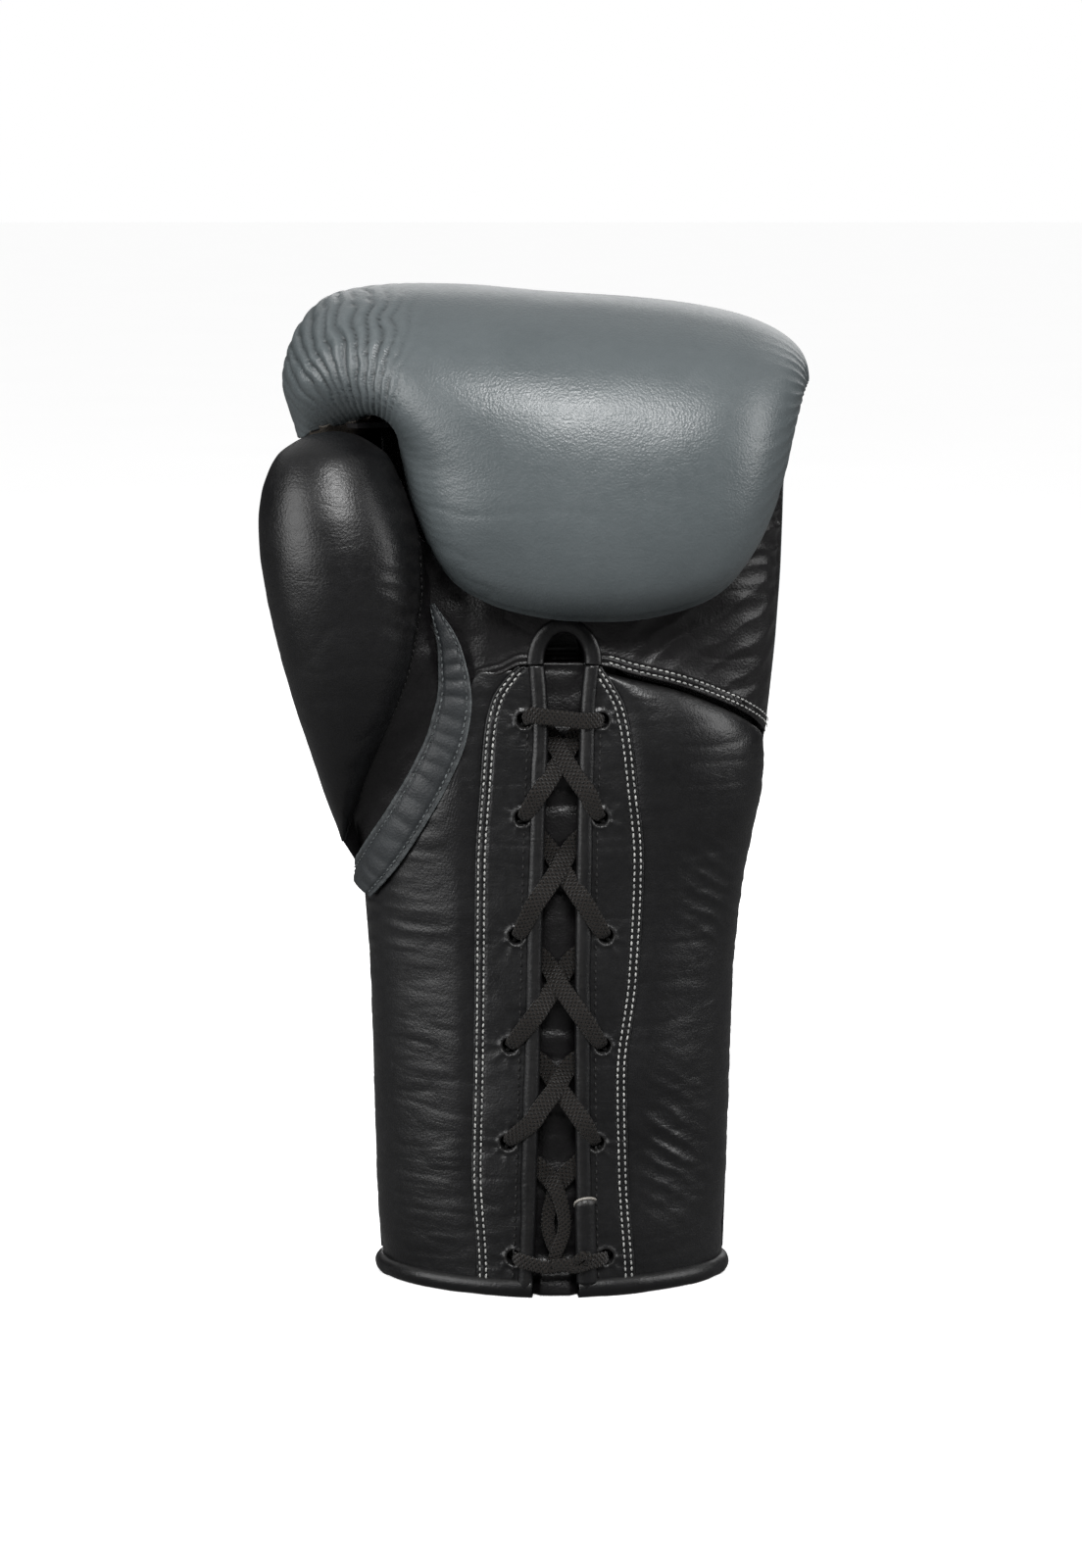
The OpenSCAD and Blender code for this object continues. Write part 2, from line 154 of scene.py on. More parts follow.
PY, PZ = -8.0, 262.0
wrap_r = crv((0, 62), (30, 64), (60, 60.8), (90, 58.6), (120, 60.8), (150, 64), (180, 62.5), (195, 63.4),
    (210, 64),
             (222, 61.6), (229, 57), (235, 51))
wrap_l = crv((0, 73), (30, 80), (60, 87), (90, 89.5), (120, 85), (150, 66), (180, 50), (210, 47.5), (235, 43))
wrap_rt = crv((0, 73.5), (30, 77), (60, 80.4), (90, 81.4), (120, 81.3), (150, 79.6), (180, 77), (210, 73.5),
    (235, 67))
wrap_mid = crv((0, 0), (90, -3), (150, 6), (180, 12), (235, 14))
wrap_n = crv((0, 2.4), (60, 2.7), (90, 2.8), (180, 2.7), (225, 2.5), (235, 2.5))
lift = crv((0, 0), (45, 20), (90, 25), (235, 25))
lean = crv((0, 0), (60, 0.08), (90, 0.1), (120, 0.08), (180, 0), (235, 0))


def wrap(u, v, t):
    """u < 0 climbs the back, u >= 0 turns round the pivot; v goes across in degrees."""
    u, v, t = np.broadcast_arrays(np.asarray(u, float), np.asarray(v, float), np.asarray(t, float))
    P = tube(180 - v, PZ + np.minimum(u, 0), t)
    U = np.maximum(u, 0)
    s = np.sin(np.radians(v)); m = wrap_mid(U)
    w = np.where(s < 0, wrap_l(U) + m, wrap_rt(U) - m) - t
    c = dome(s, wrap_n(U) + 0.5 * sstep(0.2, 0.8, s) * sstep(20, 80, U) + 0.5 * sstep(-0.2, -0.8, s)
        * sstep(20, 70, U))
    r = (wrap_r(U) * (1 - lean(U) * s) - t) * c
    L = lift(U) * np.where(s < 0, 0.82, 1.0)
    Q = np.stack([m + w * s, PY + r * np.cos(np.radians(U)), PZ + L * (1 - c) + r * np.sin(np.radians(U))],
        -1)
    cheek = sstep(-48, -84, v)
    Q[..., 2] += cheek * (-19.0 * bump(U, 98, 50) + 5.0 * bump(U, 170, 14)) * sstep(0, 25, U)
    Q[..., 0] += cheek * (1.5 + 7.5 * sstep(296, 268, Q[..., 2])) * sstep(15, 60, U) * sstep(175, 140,
        U) - 2.6 * bump(v, -64, 14) * bump(U, 90, 45)
    return np.where((u < 0)[..., None], P, Q)


def normals(P):
    du = np.gradient(P, axis=0); dv = np.gradient(P, axis=1)
    n = np.cross(du, dv)
    return n / (np.linalg.norm(n, axis=-1, keepdims=True) + 1e-9)


def edge_dist(P):
    """Distance in mm to each edge of a grid: top row, bottom row, left column, right column."""
    r = np.concatenate([np.zeros((1,) + P.shape[1:2]),
        np.cumsum(np.linalg.norm(np.diff(P, axis=0), axis=-1), 0)], 0)
    c = np.concatenate([np.zeros((P.shape[0], 1)), np.cumsum(np.linalg.norm(np.diff(P, axis=1), axis=-1),
        1)], 1)
    return r, r[-1:] - r, c, c[:, -1:] - c


def roll(d, r):
    """How far a turned edge drops at distance d from it."""
    q = np.clip(1 - d / r, 0, 1)
    return r * (1 - np.sqrt(1 - q * q))


# ---------------------------------------------------------------- meshes
def obj(name, V, F, mat, body, uv=None, wear_and_painted_light=None, smooth=True):
    me = bpy.data.meshes.new(name)
    V = np.asarray(V, float).reshape(-1, 3) / 1000
    F = np.asarray(F)
    me.vertices.add(len(V)); me.vertices.foreach_set("co", V.ravel())
    k = F.shape[1]
    me.loops.add(F.size); me.loops.foreach_set("vertex_index", F.ravel().astype(np.int32))
    me.polygons.add(len(F)); me.polygons.foreach_set("loop_start", np.arange(0, F.size, k, dtype=np.int32))
    me.update(calc_edges=True)
    me.polygons.foreach_set("use_smooth", np.full(len(F), smooth))
    if uv is not None:
        u = me.uv_layers.new(name="UVMap")
        u.data.foreach_set("uv", np.asarray(uv, float).reshape(-1, 2)[F.ravel()].ravel())
    if wear_and_painted_light is not None:
        a = me.attributes.new("wear_and_painted_light", "FLOAT", "POINT")
        a.data.foreach_set("value", np.asarray(wear_and_painted_light, float).ravel())
    me.validate(); me.update()
    o = bpy.data.objects.new(name, me)
    bpy.context.scene.collection.objects.link(o)
    me.materials.append(mat)
    if body:
        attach(o, body)
    return o


def quads(r, c, off=0, closed=False):
    y, x = np.meshgrid(np.arange(r - 1), np.arange(c if closed else c - 1), indexing="ij")
    x2 = (x + 1) % c
    return np.stack([off + y * c + x, off + y * c + x2, off + (y + 1) * c + x2, off + (y + 1) * c + x],
        -1).reshape(-1, 4)


def sheet(name, P, mat, body, turn=2.0, flip=False, wear_and_painted_light=None, dirn=None):
    """A leather sheet from a grid of points, its edges turned in by `turn` mm."""
    n = normals(P)
    if flip:
        n = -n
    if dirn is not None:
        n = np.broadcast_to(np.asarray(dirn, float), P.shape)
    W = np.zeros(P.shape[:2]) if wear_and_painted_light is None else wear_and_painted_light
    for k in (0.25, 0.75):
        P = np.pad(P, ((1, 1), (1, 1), (0, 0)), mode="edge")
        n = np.pad(n, ((1, 1), (1, 1), (0, 0)), mode="edge")
        W = np.pad(W, 1, mode="edge")
        m = np.zeros(P.shape[:2]); m[0] = m[-1] = 1; m[:, 0] = m[:, -1] = 1
        P = P - n * (m * turn * k)[..., None]
    r, c = P.shape[:2]
    F = quads(r, c)
    if flip:
        F = F[:, ::-1]
    L = np.cumsum(np.pad(np.linalg.norm(np.diff(P, axis=0), axis=-1), ((1, 0), (0, 0))), 0)
    A = np.cumsum(np.pad(np.linalg.norm(np.diff(P, axis=1), axis=-1), ((0, 0), (1, 0))), 1)
    return obj(name, P, F, mat, body, uv=np.stack([A, L], -1) / 10, wear_and_painted_light=W)


def sweep(name, C, N, W, T, mat, body, n=10, lens=False):
    """A strip of width W and thickness T along centre C, flat side along N."""
    C = np.asarray(C, float)
    D = np.gradient(C, axis=0); D /= np.linalg.norm(D, axis=1, keepdims=True) + 1e-9
    B = np.cross(D, N); B /= np.linalg.norm(B, axis=1, keepdims=True) + 1e-9
    N = np.cross(B, D)
    a = np.linspace(0, 2 * np.pi, n, endpoint=False)
    p = 3.2 if not lens else 2
    x = np.sign(np.cos(a)) * np.abs(np.cos(a)) ** (2 / p)
    y = np.sign(np.sin(a)) * np.abs(np.sin(a)) ** (2 / p)
    W = np.broadcast_to(W, len(C)); T = np.broadcast_to(T, len(C))
    P = C[:, None] + B[:, None] * (x[None, :, None] * W[:, None, None] / 2) + N[:,
        None] * (y[None, :, None] * T[:, None, None] / 2)
    F = quads(len(C), n, closed=True)
    caps = [list(range(n))[::-1], [(len(C) - 1) * n + i for i in range(n)]]
    L = np.concatenate([[0], np.cumsum(np.linalg.norm(np.diff(C, axis=0), axis=1))])
    uv = np.stack([np.broadcast_to((x * 0.5 + 0.5)[None], P.shape[:2]) * W[:, None] / 10,
                   np.broadcast_to(L[:, None], P.shape[:2]) / 10], -1)
    tri = [(c[0], c[i], c[i + 1]) for c in caps for i in range(1, n - 1)]
    o = obj(name, P.reshape(-1, 3), F, mat, body, uv=uv)
    bm = bmesh.new(); bm.from_mesh(o.data); bm.verts.ensure_lookup_table()
    for t in tri:
        try:
            f = bm.faces.new([bm.verts[i] for i in t]); f.smooth = True
        except ValueError:
            pass
    bm.to_mesh(o.data); bm.free()
    return o


def spline(pts, n=12):
    """Catmull-Rom through rows of numbers."""
    p = np.asarray(pts, float); q = np.vstack([2 * p[0] - p[1], p, 2 * p[-1] - p[-2]])
    out = []
    for i in range(1, len(q) - 2):
        for t in np.linspace(0, 1, n, endpoint=False):
            out.append(0.5 * (2 * q[i] + (q[i + 1] - q[i - 1]) * t
                + (2 * q[i - 1] - 5 * q[i] + 4 * q[i + 1] - q[i + 2]) * t * t
                              + (3 * q[i] - q[i - 1] - 3 * q[i + 1] + q[i + 2]) * t**3))
    out.append(p[-1])
    return np.array(out)


def walk(C, N, step):
    """Evenly spaced points, directions and normals along a path."""
    L = np.concatenate([[0], np.cumsum(np.linalg.norm(np.diff(C, axis=0), axis=1))])
    s = np.arange(step / 2, L[-1], step)
    P = np.stack([np.interp(s, L, C[:, k]) for k in range(3)], 1)
    Q = np.stack([np.interp(s + 0.2, L, C[:, k]) - np.interp(s - 0.2, L, C[:, k]) for k in range(3)], 1)
    M = np.stack([np.interp(s, L, N[:, k]) for k in range(3)], 1)
    Q /= np.linalg.norm(Q, axis=1, keepdims=True) + 1e-9; M /= np.linalg.norm(M, axis=1, keepdims=True) + 1e-9
    return P, Q, M


def stitches(name, paths, mat, body, pitch=2.05, length=1.45, width=0.62, high=0.34, sink=0.05, seed=3):
    """Short padded thread stitches along (points, normals) paths, in one mesh."""
    a = np.linspace(0, 2 * np.pi, 6, endpoint=False)
    prof = np.array([[-0.5, 0.0], [-0.44, 0.62], [-0.2, 1.0], [0.2, 1.0], [0.44, 0.62], [0.5, 0.0]])
    rng = np.random.default_rng(seed)
    V, F, k = [], [], 0
    for C, N in paths:
        P, D, M = walk(np.asarray(C, float), np.asarray(N, float), pitch)
        B = np.cross(D, M)
        for p, d, m, b in zip(P, D, M, B):
            j = rng.normal(0, 1, 3)
            d2 = d + b * 0.07 * j[0]; l = length * (1 + 0.06 * j[1])
            for x, r in prof:
                c = p + d2 * x * l + m * (high * 0.5 * (1 - (2 * x) ** 4) - sink)
                for t in a:
                    V.append(c + b * math.cos(t) * width / 2 * r + m * math.sin(t) * high / 2 * r)
            F.append(quads(6, 6, k, True)); k += 36
    return obj(name, np.array(V), np.vstack(F), mat, body)


# ---------------------------------------------------------------- materials
def srgb(r, g, b):
    return tuple(((c / 255 + 0.055) / 1.055) ** 2.4 if c > 10.3 else c / 255 / 12.92 for c in (r, g,
        b)) + (1,)


class Mat:
    def __init__(self, name):
        self.m = bpy.data.materials.new(name); self.m.use_nodes = True
        self.t = self.m.node_tree; self.n = self.t.nodes; self.l = self.t.links
        self.b = self.n["Principled BSDF"]
        self.co = self.n.new("ShaderNodeTexCoord").outputs["Object"]

    def node(self, kind, **kw):
        n = self.n.new("ShaderNode" + kind)
        for k, v in kw.items():
            if k in n.inputs:
                s = n.inputs[k]
                if isinstance(v, bpy.types.NodeSocket):
                    self.l.new(v, s)
                else:
                    s.default_value = v
            else:
                setattr(n, k, v)
        return n

    def noise(self, scale, detail=4, rough=0.55, stretch=None, dist=0.0):
        v = self.co
        if stretch:
            v = self.node("Mapping", Vector=v, Scale=stretch).outputs[0]
        return self.node("TexNoise", Vector=v, Scale=scale, Detail=detail, Roughness=rough,
            Distortion=dist).outputs["Fac"]

    def voronoi(self, scale, feature="F1"):
        n = self.node("TexVoronoi", Vector=self.co, Scale=scale); n.feature = feature
        return n.outputs["Distance"]

    def math(self, op, a, b=0.0):
        n = self.n.new("ShaderNodeMath"); n.operation = op
        for s, v in zip(n.inputs, (a, b)):
            if isinstance(v, bpy.types.NodeSocket):
                self.l.new(v, s)
            else:
                s.default_value = v
        return n.outputs[0]

    def ramp(self, fac, *stops):
        n = self.n.new("ShaderNodeValToRGB"); self.l.new(fac, n.inputs[0])
        e = n.color_ramp.elements
        e[0].position, e[0].color = stops[0]; e[1].position, e[1].color = stops[-1]
        for p, c in stops[1:-1]:
            k = e.new(p); k.color = c
        return n.outputs["Color"]

    def mix(self, fac, a, b, mode="MIX"):
        n = self.n.new("ShaderNodeMix"); n.data_type = "RGBA"; n.blend_type = mode
        for s, v in ((n.inputs[0], fac), (n.inputs[6], a), (n.inputs[7], b)):
            if isinstance(v, bpy.types.NodeSocket):
                self.l.new(v, s)
            else:
                s.default_value = v
        return n.outputs[2]

    def rng(self, v, lo, hi, a, b):
        return self.node("MapRange", Value=v, **{"From Min": lo, "From Max": hi, "To Min": a,
            "To Max": b}).outputs[0]

    def bumps(self, *layers):
        """Stack of (height, distance in mm, strength)."""
        last = None
        for h, d, s in layers:
            n = self.node("Bump", Height=h, Distance=d / 1000, Strength=s)
            if last:
                self.l.new(last, n.inputs["Normal"])
            last = n.outputs[0]
        self.l.new(last, self.b.inputs["Normal"])

    def set(self, **kw):
        for k, v in kw.items():
            s = self.b.inputs[k.replace("_", " ")]
            if isinstance(v, bpy.types.NodeSocket):
                self.l.new(v, s)
            else:
                s.default_value = v
        return self.m


def leather(name, dark, light, worn_and_highlight, rough=(0.34, 0.52), grain=0.16, spec=0.5, wr=(0.12, 0.16)):
    """Grained leather. A per-point attribute lightens the colour where positive, for rub wear and painted
    highlights, and darkens it where negative, as painted shade.
    """
    k = Mat(name)
    blotch = k.noise(28, 5, 0.6)
    fine = k.noise(420, 4, 0.6)
    cell = k.voronoi(1250)
    pore = k.voronoi(2600)
    creases = k.noise(60, 3, 0.5, stretch=(1, 1, 3.4), dist=0.9)
    drag = k.noise(26, 3, 0.5, stretch=(1, 1, 5.5), dist=0.8)
    line = k.rng(k.math("ABSOLUTE", k.math("SUBTRACT", creases, 0.5)), 0.0, 0.035, 0.0, 1.0)
    col = k.ramp(k.math("ADD", k.math("MULTIPLY", blotch, 0.7), k.math("MULTIPLY", fine, 0.3)),
        (0.36, dark), (0.66, light))
    # per-point attribute: positive values are rub wear and painted highlights, negative values are painted
    # shade
    att = k.node("Attribute", attribute_name="wear_and_painted_light").outputs["Fac"]
    wear_and_painted_light = k.math("MULTIPLY", k.math("MAXIMUM", att, 0.0), k.rng(fine, 0.35, 0.6, 0.35, 1.0))
    col = k.mix(wear_and_painted_light, col, worn_and_highlight)
    # painted shade: where the attribute is negative the colour goes towards near black
    col = k.mix(k.math("MAXIMUM", k.math("MULTIPLY", att, -1.0), 0.0), col,
        tuple(c * 0.12 for c in dark[:3]) + (1,))
    # painted shade in the crease lines: the colour is darkened a little along them
    col = k.mix(k.rng(line, 0, 1, 0.08, 0.0), col, tuple(c * 0.55 for c in dark[:3]) + (1,))
    k.bumps((blotch, 0.4, 0.12), (line, wr[0], wr[1]), (drag, wr[0] * 5, wr[1]), (fine, 0.10, 0.5),
        (cell, grain, 0.55), (pore, grain * 0.4, 0.4))
    r = k.math("ADD", k.rng(blotch, 0.3, 0.7, rough[0], rough[1]),
        k.math("MULTIPLY", k.math("SUBTRACT", fine, 0.5), 0.16))
    return k.set(Base_Color=col, Roughness=r, Specular_IOR_Level=spec)


GREY = leather("grey_leather", srgb(71, 77, 79), srgb(78, 84, 86), srgb(120, 126, 127), (0.33, 0.41), 0.13,
    spec=0.5, wr=(0.10, 0.14))
GREY2 = leather("grey_trim_leather", srgb(31, 33, 35), srgb(41, 44, 46), srgb(122, 127, 128), (0.42, 0.56),
    0.15, spec=0.4)
BLACK = leather("black_leather", srgb(11, 11, 12), srgb(18, 18, 19), srgb(52, 51, 50), (0.30, 0.41), 0.09,
    spec=0.38)
PALM = leather("black_palm_leather", srgb(11, 10, 11), srgb(19, 18, 19), srgb(52, 50, 49), (0.30, 0.42),
    0.11, spec=0.32)
INNER = leather("inner_leather", srgb(58, 53, 48), srgb(80, 74, 67), srgb(100, 93, 84), (0.5, 0.65), 0.16,
    spec=0.3)
EDGE = leather("edge_leather", srgb(10, 10, 11), srgb(16, 16, 17), srgb(60, 58, 56), (0.30, 0.42), 0.08,
    spec=0.36)


def thread(name, a, b):
    k = Mat(name)
    w = k.node("TexWave", Vector=k.co, Scale=900.0, Distortion=2.0).outputs["Fac"]
    n = k.noise(300, 3)
    k.bumps((w, 0.12, 0.6), (n, 0.1, 0.4))
    return k.set(Base_Color=k.ramp(n, (0.35, a), (0.65, b)), Roughness=0.62, Specular_IOR_Level=0.3)


THREAD = thread("pale_thread", srgb(118, 119, 118), srgb(168, 168, 165))
THREAD2 = thread("grey_thread", srgb(58, 61, 62), srgb(92, 96, 97))
THREAD3 = thread("black_thread", srgb(12, 12, 12), srgb(30, 29, 29))


def woven(name, a, b, cells=11.0, rough=0.85, strip=True):
    """Two sets of threads across each other, laid along a strip or through the object's own space."""
    k = Mat(name)
    uv = k.node("UVMap").outputs[0] if strip else k.co
    turn = (0, 0, math.radians(38)) if strip else (0, math.radians(45), 0.3)
    m1 = k.node("Mapping", Vector=uv, Rotation=turn, Scale=(cells, cells, 1 if strip else cells)).outputs[0]
    m2 = k.node("Mapping", Vector=uv, Rotation=tuple(-r for r in turn),
        Scale=(cells, cells, 1 if strip else cells)).outputs[0]
    w1 = k.node("TexWave", Vector=m1, Scale=1.0, Distortion=0.4); w1.bands_direction = "Y" if strip else "Z"
    w2 = k.node("TexWave", Vector=m2, Scale=1.0, Distortion=0.4); w2.bands_direction = "Y" if strip else "Z"
    h = k.math("MAXIMUM", w1.outputs["Fac"], w2.outputs["Fac"])
    n = k.noise(500, 5, 0.7)
    fuzz = k.noise(1800, 2, 0.7)
    k.bumps((h, 0.8, 1.0), (n, 0.3, 0.8), (fuzz, 0.1, 0.5))
    col = k.ramp(k.math("ADD", k.math("MULTIPLY", h, 0.6), k.math("MULTIPLY", n, 0.5)), (0.35, a), (0.85, b))
    return k.set(Base_Color=col, Roughness=rough, Specular_IOR_Level=0.2, Sheen_Weight=0.08,
        Sheen_Roughness=0.5)


LACE = woven("woven_lace", srgb(2, 2, 2), srgb(27, 23, 20), 2.6)
LINING = woven("nylon_lining", srgb(14, 14, 15), srgb(34, 34, 36), 400.0, 0.7, False)


RAW = leather("raw_edge", srgb(105, 102, 98), srgb(150, 146, 140), srgb(170, 165, 160), (0.6, 0.75), 0.2,
    spec=0.2)


# ---------------------------------------------------------------- camera, floor and light
def look_at(o, target):
    from mathutils import Vector
    o.rotation_euler = (Vector(target) - o.location).to_track_quat("-Z", "Y").to_euler()


cam = bpy.data.objects.new("camera", bpy.data.cameras.new("camera"))
bpy.context.scene.collection.objects.link(cam)
el = math.radians(8.0); dist = 1.4
tgt = (-0.0038, -0.010, 0.1625)
cam.location = (tgt[0], tgt[1] - dist * math.cos(el), tgt[2] + dist * math.sin(el))
look_at(cam, tgt)
cam.data.sensor_width = 36; cam.data.lens = 4444 / 1600 * 36
bpy.context.scene.camera = cam

fm = Mat("floor_white"); fn = fm.noise(3, 2)
seen = fm.node("LightPath").outputs["Is Camera Ray"]
fm.set(Base_Color=fm.mix(seen, (0.14, 0.14, 0.14, 1),
    fm.ramp(fn, (0.3, (0.94, 0.94, 0.94, 1)), (0.7, (0.96, 0.96, 0.96, 1)))), Roughness=0.9,
       Specular_IOR_Level=0.0, Emission_Color=(1, 1, 1, 1), Emission_Strength=fm.rng(seen, 0, 1, 0.0, 0.58))
me = bpy.data.meshes.new("floor")
me.from_pydata([(-30, -30, 0), (30, -30, 0), (30, 30, 0), (-30, 30, 0)], [], [(0, 1, 2, 3)])
floor = bpy.data.objects.new("floor", me); bpy.context.scene.collection.objects.link(floor)
me.materials.append(fm.m)


def area(name, loc, target, size, power):
    d = bpy.data.lights.new(name, "AREA"); d.shape = "RECTANGLE"
    d.size, d.size_y = size; d.energy = power
    o = bpy.data.objects.new(name, d); bpy.context.scene.collection.objects.link(o)
    o.location = loc; look_at(o, target)
    return o


area("softbox_key", (0.10, -1.25, 1.10), (0, 0, 0.25), (0.60, 0.40), 26)
area("softbox_right", (1.36, -0.40, 0.62), (0, 0, 0.2), (0.7, 1.0), 13)
area("softbox_left", (-1.18, -0.70, 0.45), (0, 0, 0.2), (1.0, 1.0), 17)
area("softbox_back", (0.3, 1.5, 0.8), (0, 0, 0.2), (1.4, 0.9), 6)
sd = bpy.data.lights.new("overhead", "SUN"); sd.energy = 1.2; sd.angle = math.radians(120)
so = bpy.data.objects.new("overhead", sd); bpy.context.scene.collection.objects.link(so)
so.rotation_euler = (math.radians(-12), 0, 0)

world = bpy.data.worlds.new("studio"); bpy.context.scene.world = world; world.use_nodes = True
wt = world.node_tree; bg = wt.nodes["Background"]
lp = wt.nodes.new("ShaderNodeLightPath"); mr = wt.nodes.new("ShaderNodeMapRange")
mr.inputs["To Min"].default_value = 0.035; mr.inputs["To Max"].default_value = 1.0
wt.links.new(lp.outputs["Is Camera Ray"], mr.inputs["Value"])
wt.links.new(mr.outputs[0], bg.inputs["Strength"])
bg.inputs["Color"].default_value = (1, 1, 1, 1)
bpy.context.scene.view_settings.view_transform = "Standard"


# ---------------------------------------------------------------- fist wrap
def fist():
    nu, nv = 400, 240
    u = np.concatenate([np.linspace(-131, -1, 105), np.linspace(0, 234.5, nu - 105)])
    k = np.sin(np.linspace(-np.pi / 2, np.pi / 2, nv)) * 0.35 + np.linspace(-1, 1, nv) * 0.65
    U = np.repeat(u[:, None], nv, 1)
    vm = np.interp(u, [0, 45], [89.9, 86.0])
    V = k[None, :] * vm[:, None]
    P = wrap(U, V, 0)
    # gathered pleats round the hole over the thumb
    hx, hz = -52.0, 264.0       # the pleats' centre
    pleat, depth = 5.0, 2.3     # degrees between pleats, mm from ridge to crease
    dx, dz = P[..., 0] - hx, P[..., 2] - hz
    rad = np.hypot(dx, dz * 0.9); th = np.degrees(np.arctan2(dz, dx))
    th = np.where(th < -60, th + 360, th)
    ang = sstep(72, 98, th) * sstep(232, 205, th) * sstep(8, 38, U) * sstep(-8, -30, V)
    ang = ang * (1 - 0.9 * sstep(-58, -80, V))
    near = sstep(64, 34, rad)
    ph = th + 0.30 * rad + 11 * (fbm(P, (17, 17, 17), 5) - 0.5)
    fold = np.abs(np.sin(np.radians(ph * 180 / pleat))) ** 0.38
    amp = 0.7 + 0.9 * vnoise(np.stack([ph / pleat, rad / 30, rad * 0], -1), 8)
    t = ang * amp * (1 - fold) * depth * near
    t += ang * 0.12 * near * np.abs(np.sin(np.radians(ph * 360 / pleat + 60 * vnoise(P / 9, 3))))
    t += ang * 1.0 * sstep(26, 6, rad)
    t -= ang * 0.5 * near
    # fine drag lines that run on from the pleats over the finger lobe's left edge
    lob = sstep(150, 170, U) * sstep(222, 205, U) * sstep(-30, -62, V)
    t += lob * 0.12 * np.abs(np.sin(np.radians((U * 1.0 + 0.35 * V) * 180 / 3.4 + 90 * fbm(P, (14, 14, 14),
        2))))
    # stuffing: slow swells, a few soft dents, drag at the little-finger corner
    t -= 1.5 * (fbm(P, (52, 52, 46), 11) - 0.5) * sstep(-130, -90, U)
    t += 0.30 * crease(P, (46, 40, 13), 21, 9) * sstep(100, 150, U) * sstep(0.62, 0.5, vnoise(P / 60, 4))
    cor = sstep(45, 78, V) * sstep(100, 130, U)
    t += cor * 0.3 * np.abs(np.sin(np.radians(U * 180 / 7 + 60 * fbm(P, (12, 12, 12), 6))))
    # stretched bead along the lobe's lower edge, and a dip before it
    t -= 0.55 * bump(U, 227, 1.4) - 0.35 * bump(U, 223.5, 1.6)
    # waist seam on the back
    t += 0.9 * bump(U, -131, 2.2)
    S = P.copy()
    for _ in range(60):
        S[1:-1] = S[1:-1] * 0.5 + (S[:-2] + S[2:]) * 0.25
    w = bump(U, 0, 22)[..., None]; P = P * (1 - w) + S * w
    n = normals(P)
    c = P.mean((0, 1)); s = np.sign(((P - c) * n).sum(-1).mean()); n = n * s
    P = P - n * t[..., None]
    # painted highlight on the bead along the lobe's lower edge and on the pleat ridges; painted shade in the
    # pleat creases
    wear_and_painted_light = 0.5 * bump(U, 227.5, 1.1) + 0.16 * ang * near * fold - 1.3 * ang * near * (1 - fold) ** 1.1
    o = sheet("fist_wrap_leather", P, GREY, ROOT, turn=3.0, flip=s < 0, dirn=n, wear_and_painted_light=np.clip(wear_and_painted_light, -1, 1))
    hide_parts("fist_shell", "knuckle_foam", "inner_foam")
    paths = []
    for du in (-127.6, -125.6):
        vv = np.linspace(-84, 84, 200); Q = wrap(np.full(200, du), vv, -0.1)
        N = Q - wrap(np.full(200, du), vv, 1.0); paths.append((Q, N))
    stitches("fist_seam_stitches", paths, THREAD2, ROOT)
    for sgn, nm in ((-1, "side_panel_left"), (1, "side_panel_right")):
        u2 = np.linspace(-8, 234, 130); kk = np.linspace(0, 1, 24)
        U2, K = np.meshgrid(u2, kk, indexing="ij")
        Vv = sgn * (84.5 + 5.49 * np.sin(K * np.pi / 2))
        Q = wrap(U2, Vv, 1.0 + 1.0 * K)
        n2 = normals(Q); flip = (n2[..., 0].mean() * sgn) < 0
        Q[..., 2] += 1.2 * (np.abs(np.sin(np.radians(u2 * 180 / 13)))[:, None] - 0.5) * (1 - K) * (sgn < 0)
        o2 = sheet(nm + "_leather", Q, INNER if sgn < 0 else PALM, ROOT, turn=1.5, flip=flip)
        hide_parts(nm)


fist()


# ---------------------------------------------------------------- thumb
th_l = crv((144, -68), (150, -69.6), (167, -74.8), (180, -78.6), (192, -82), (203, -84.9), (215, -87.6),
    (228, -90), (240, -91.4),
           (250, -91.8), (258, -91.0), (264, -89.2), (270, -86), (274, -80.8), (276.4, -75.2),
           (277.2, -70.5), (277.4, -68.4))
th_r = crv((144, -67), (150, -65.2), (158, -62.2), (167, -59), (180, -53.6), (195, -47.2), (205, -44),
    (215, -42), (228, -40.2),
           (240, -40.8), (250, -43.2), (258, -46.2), (264, -48.8), (270, -52), (274, -57.2), (276.4, -62),
           (277.2, -66), (277.4, -67.6))
th_cy = crv((144, -12), (150, -15), (160, -21), (175, -28), (192, -34), (215, -38), (240, -39), (278, -38))


def th_cx(z):
    return (th_l(z) + th_r(z)) / 2


def th_hw(z):
    return (th_r(z) - th_l(z)) / 2


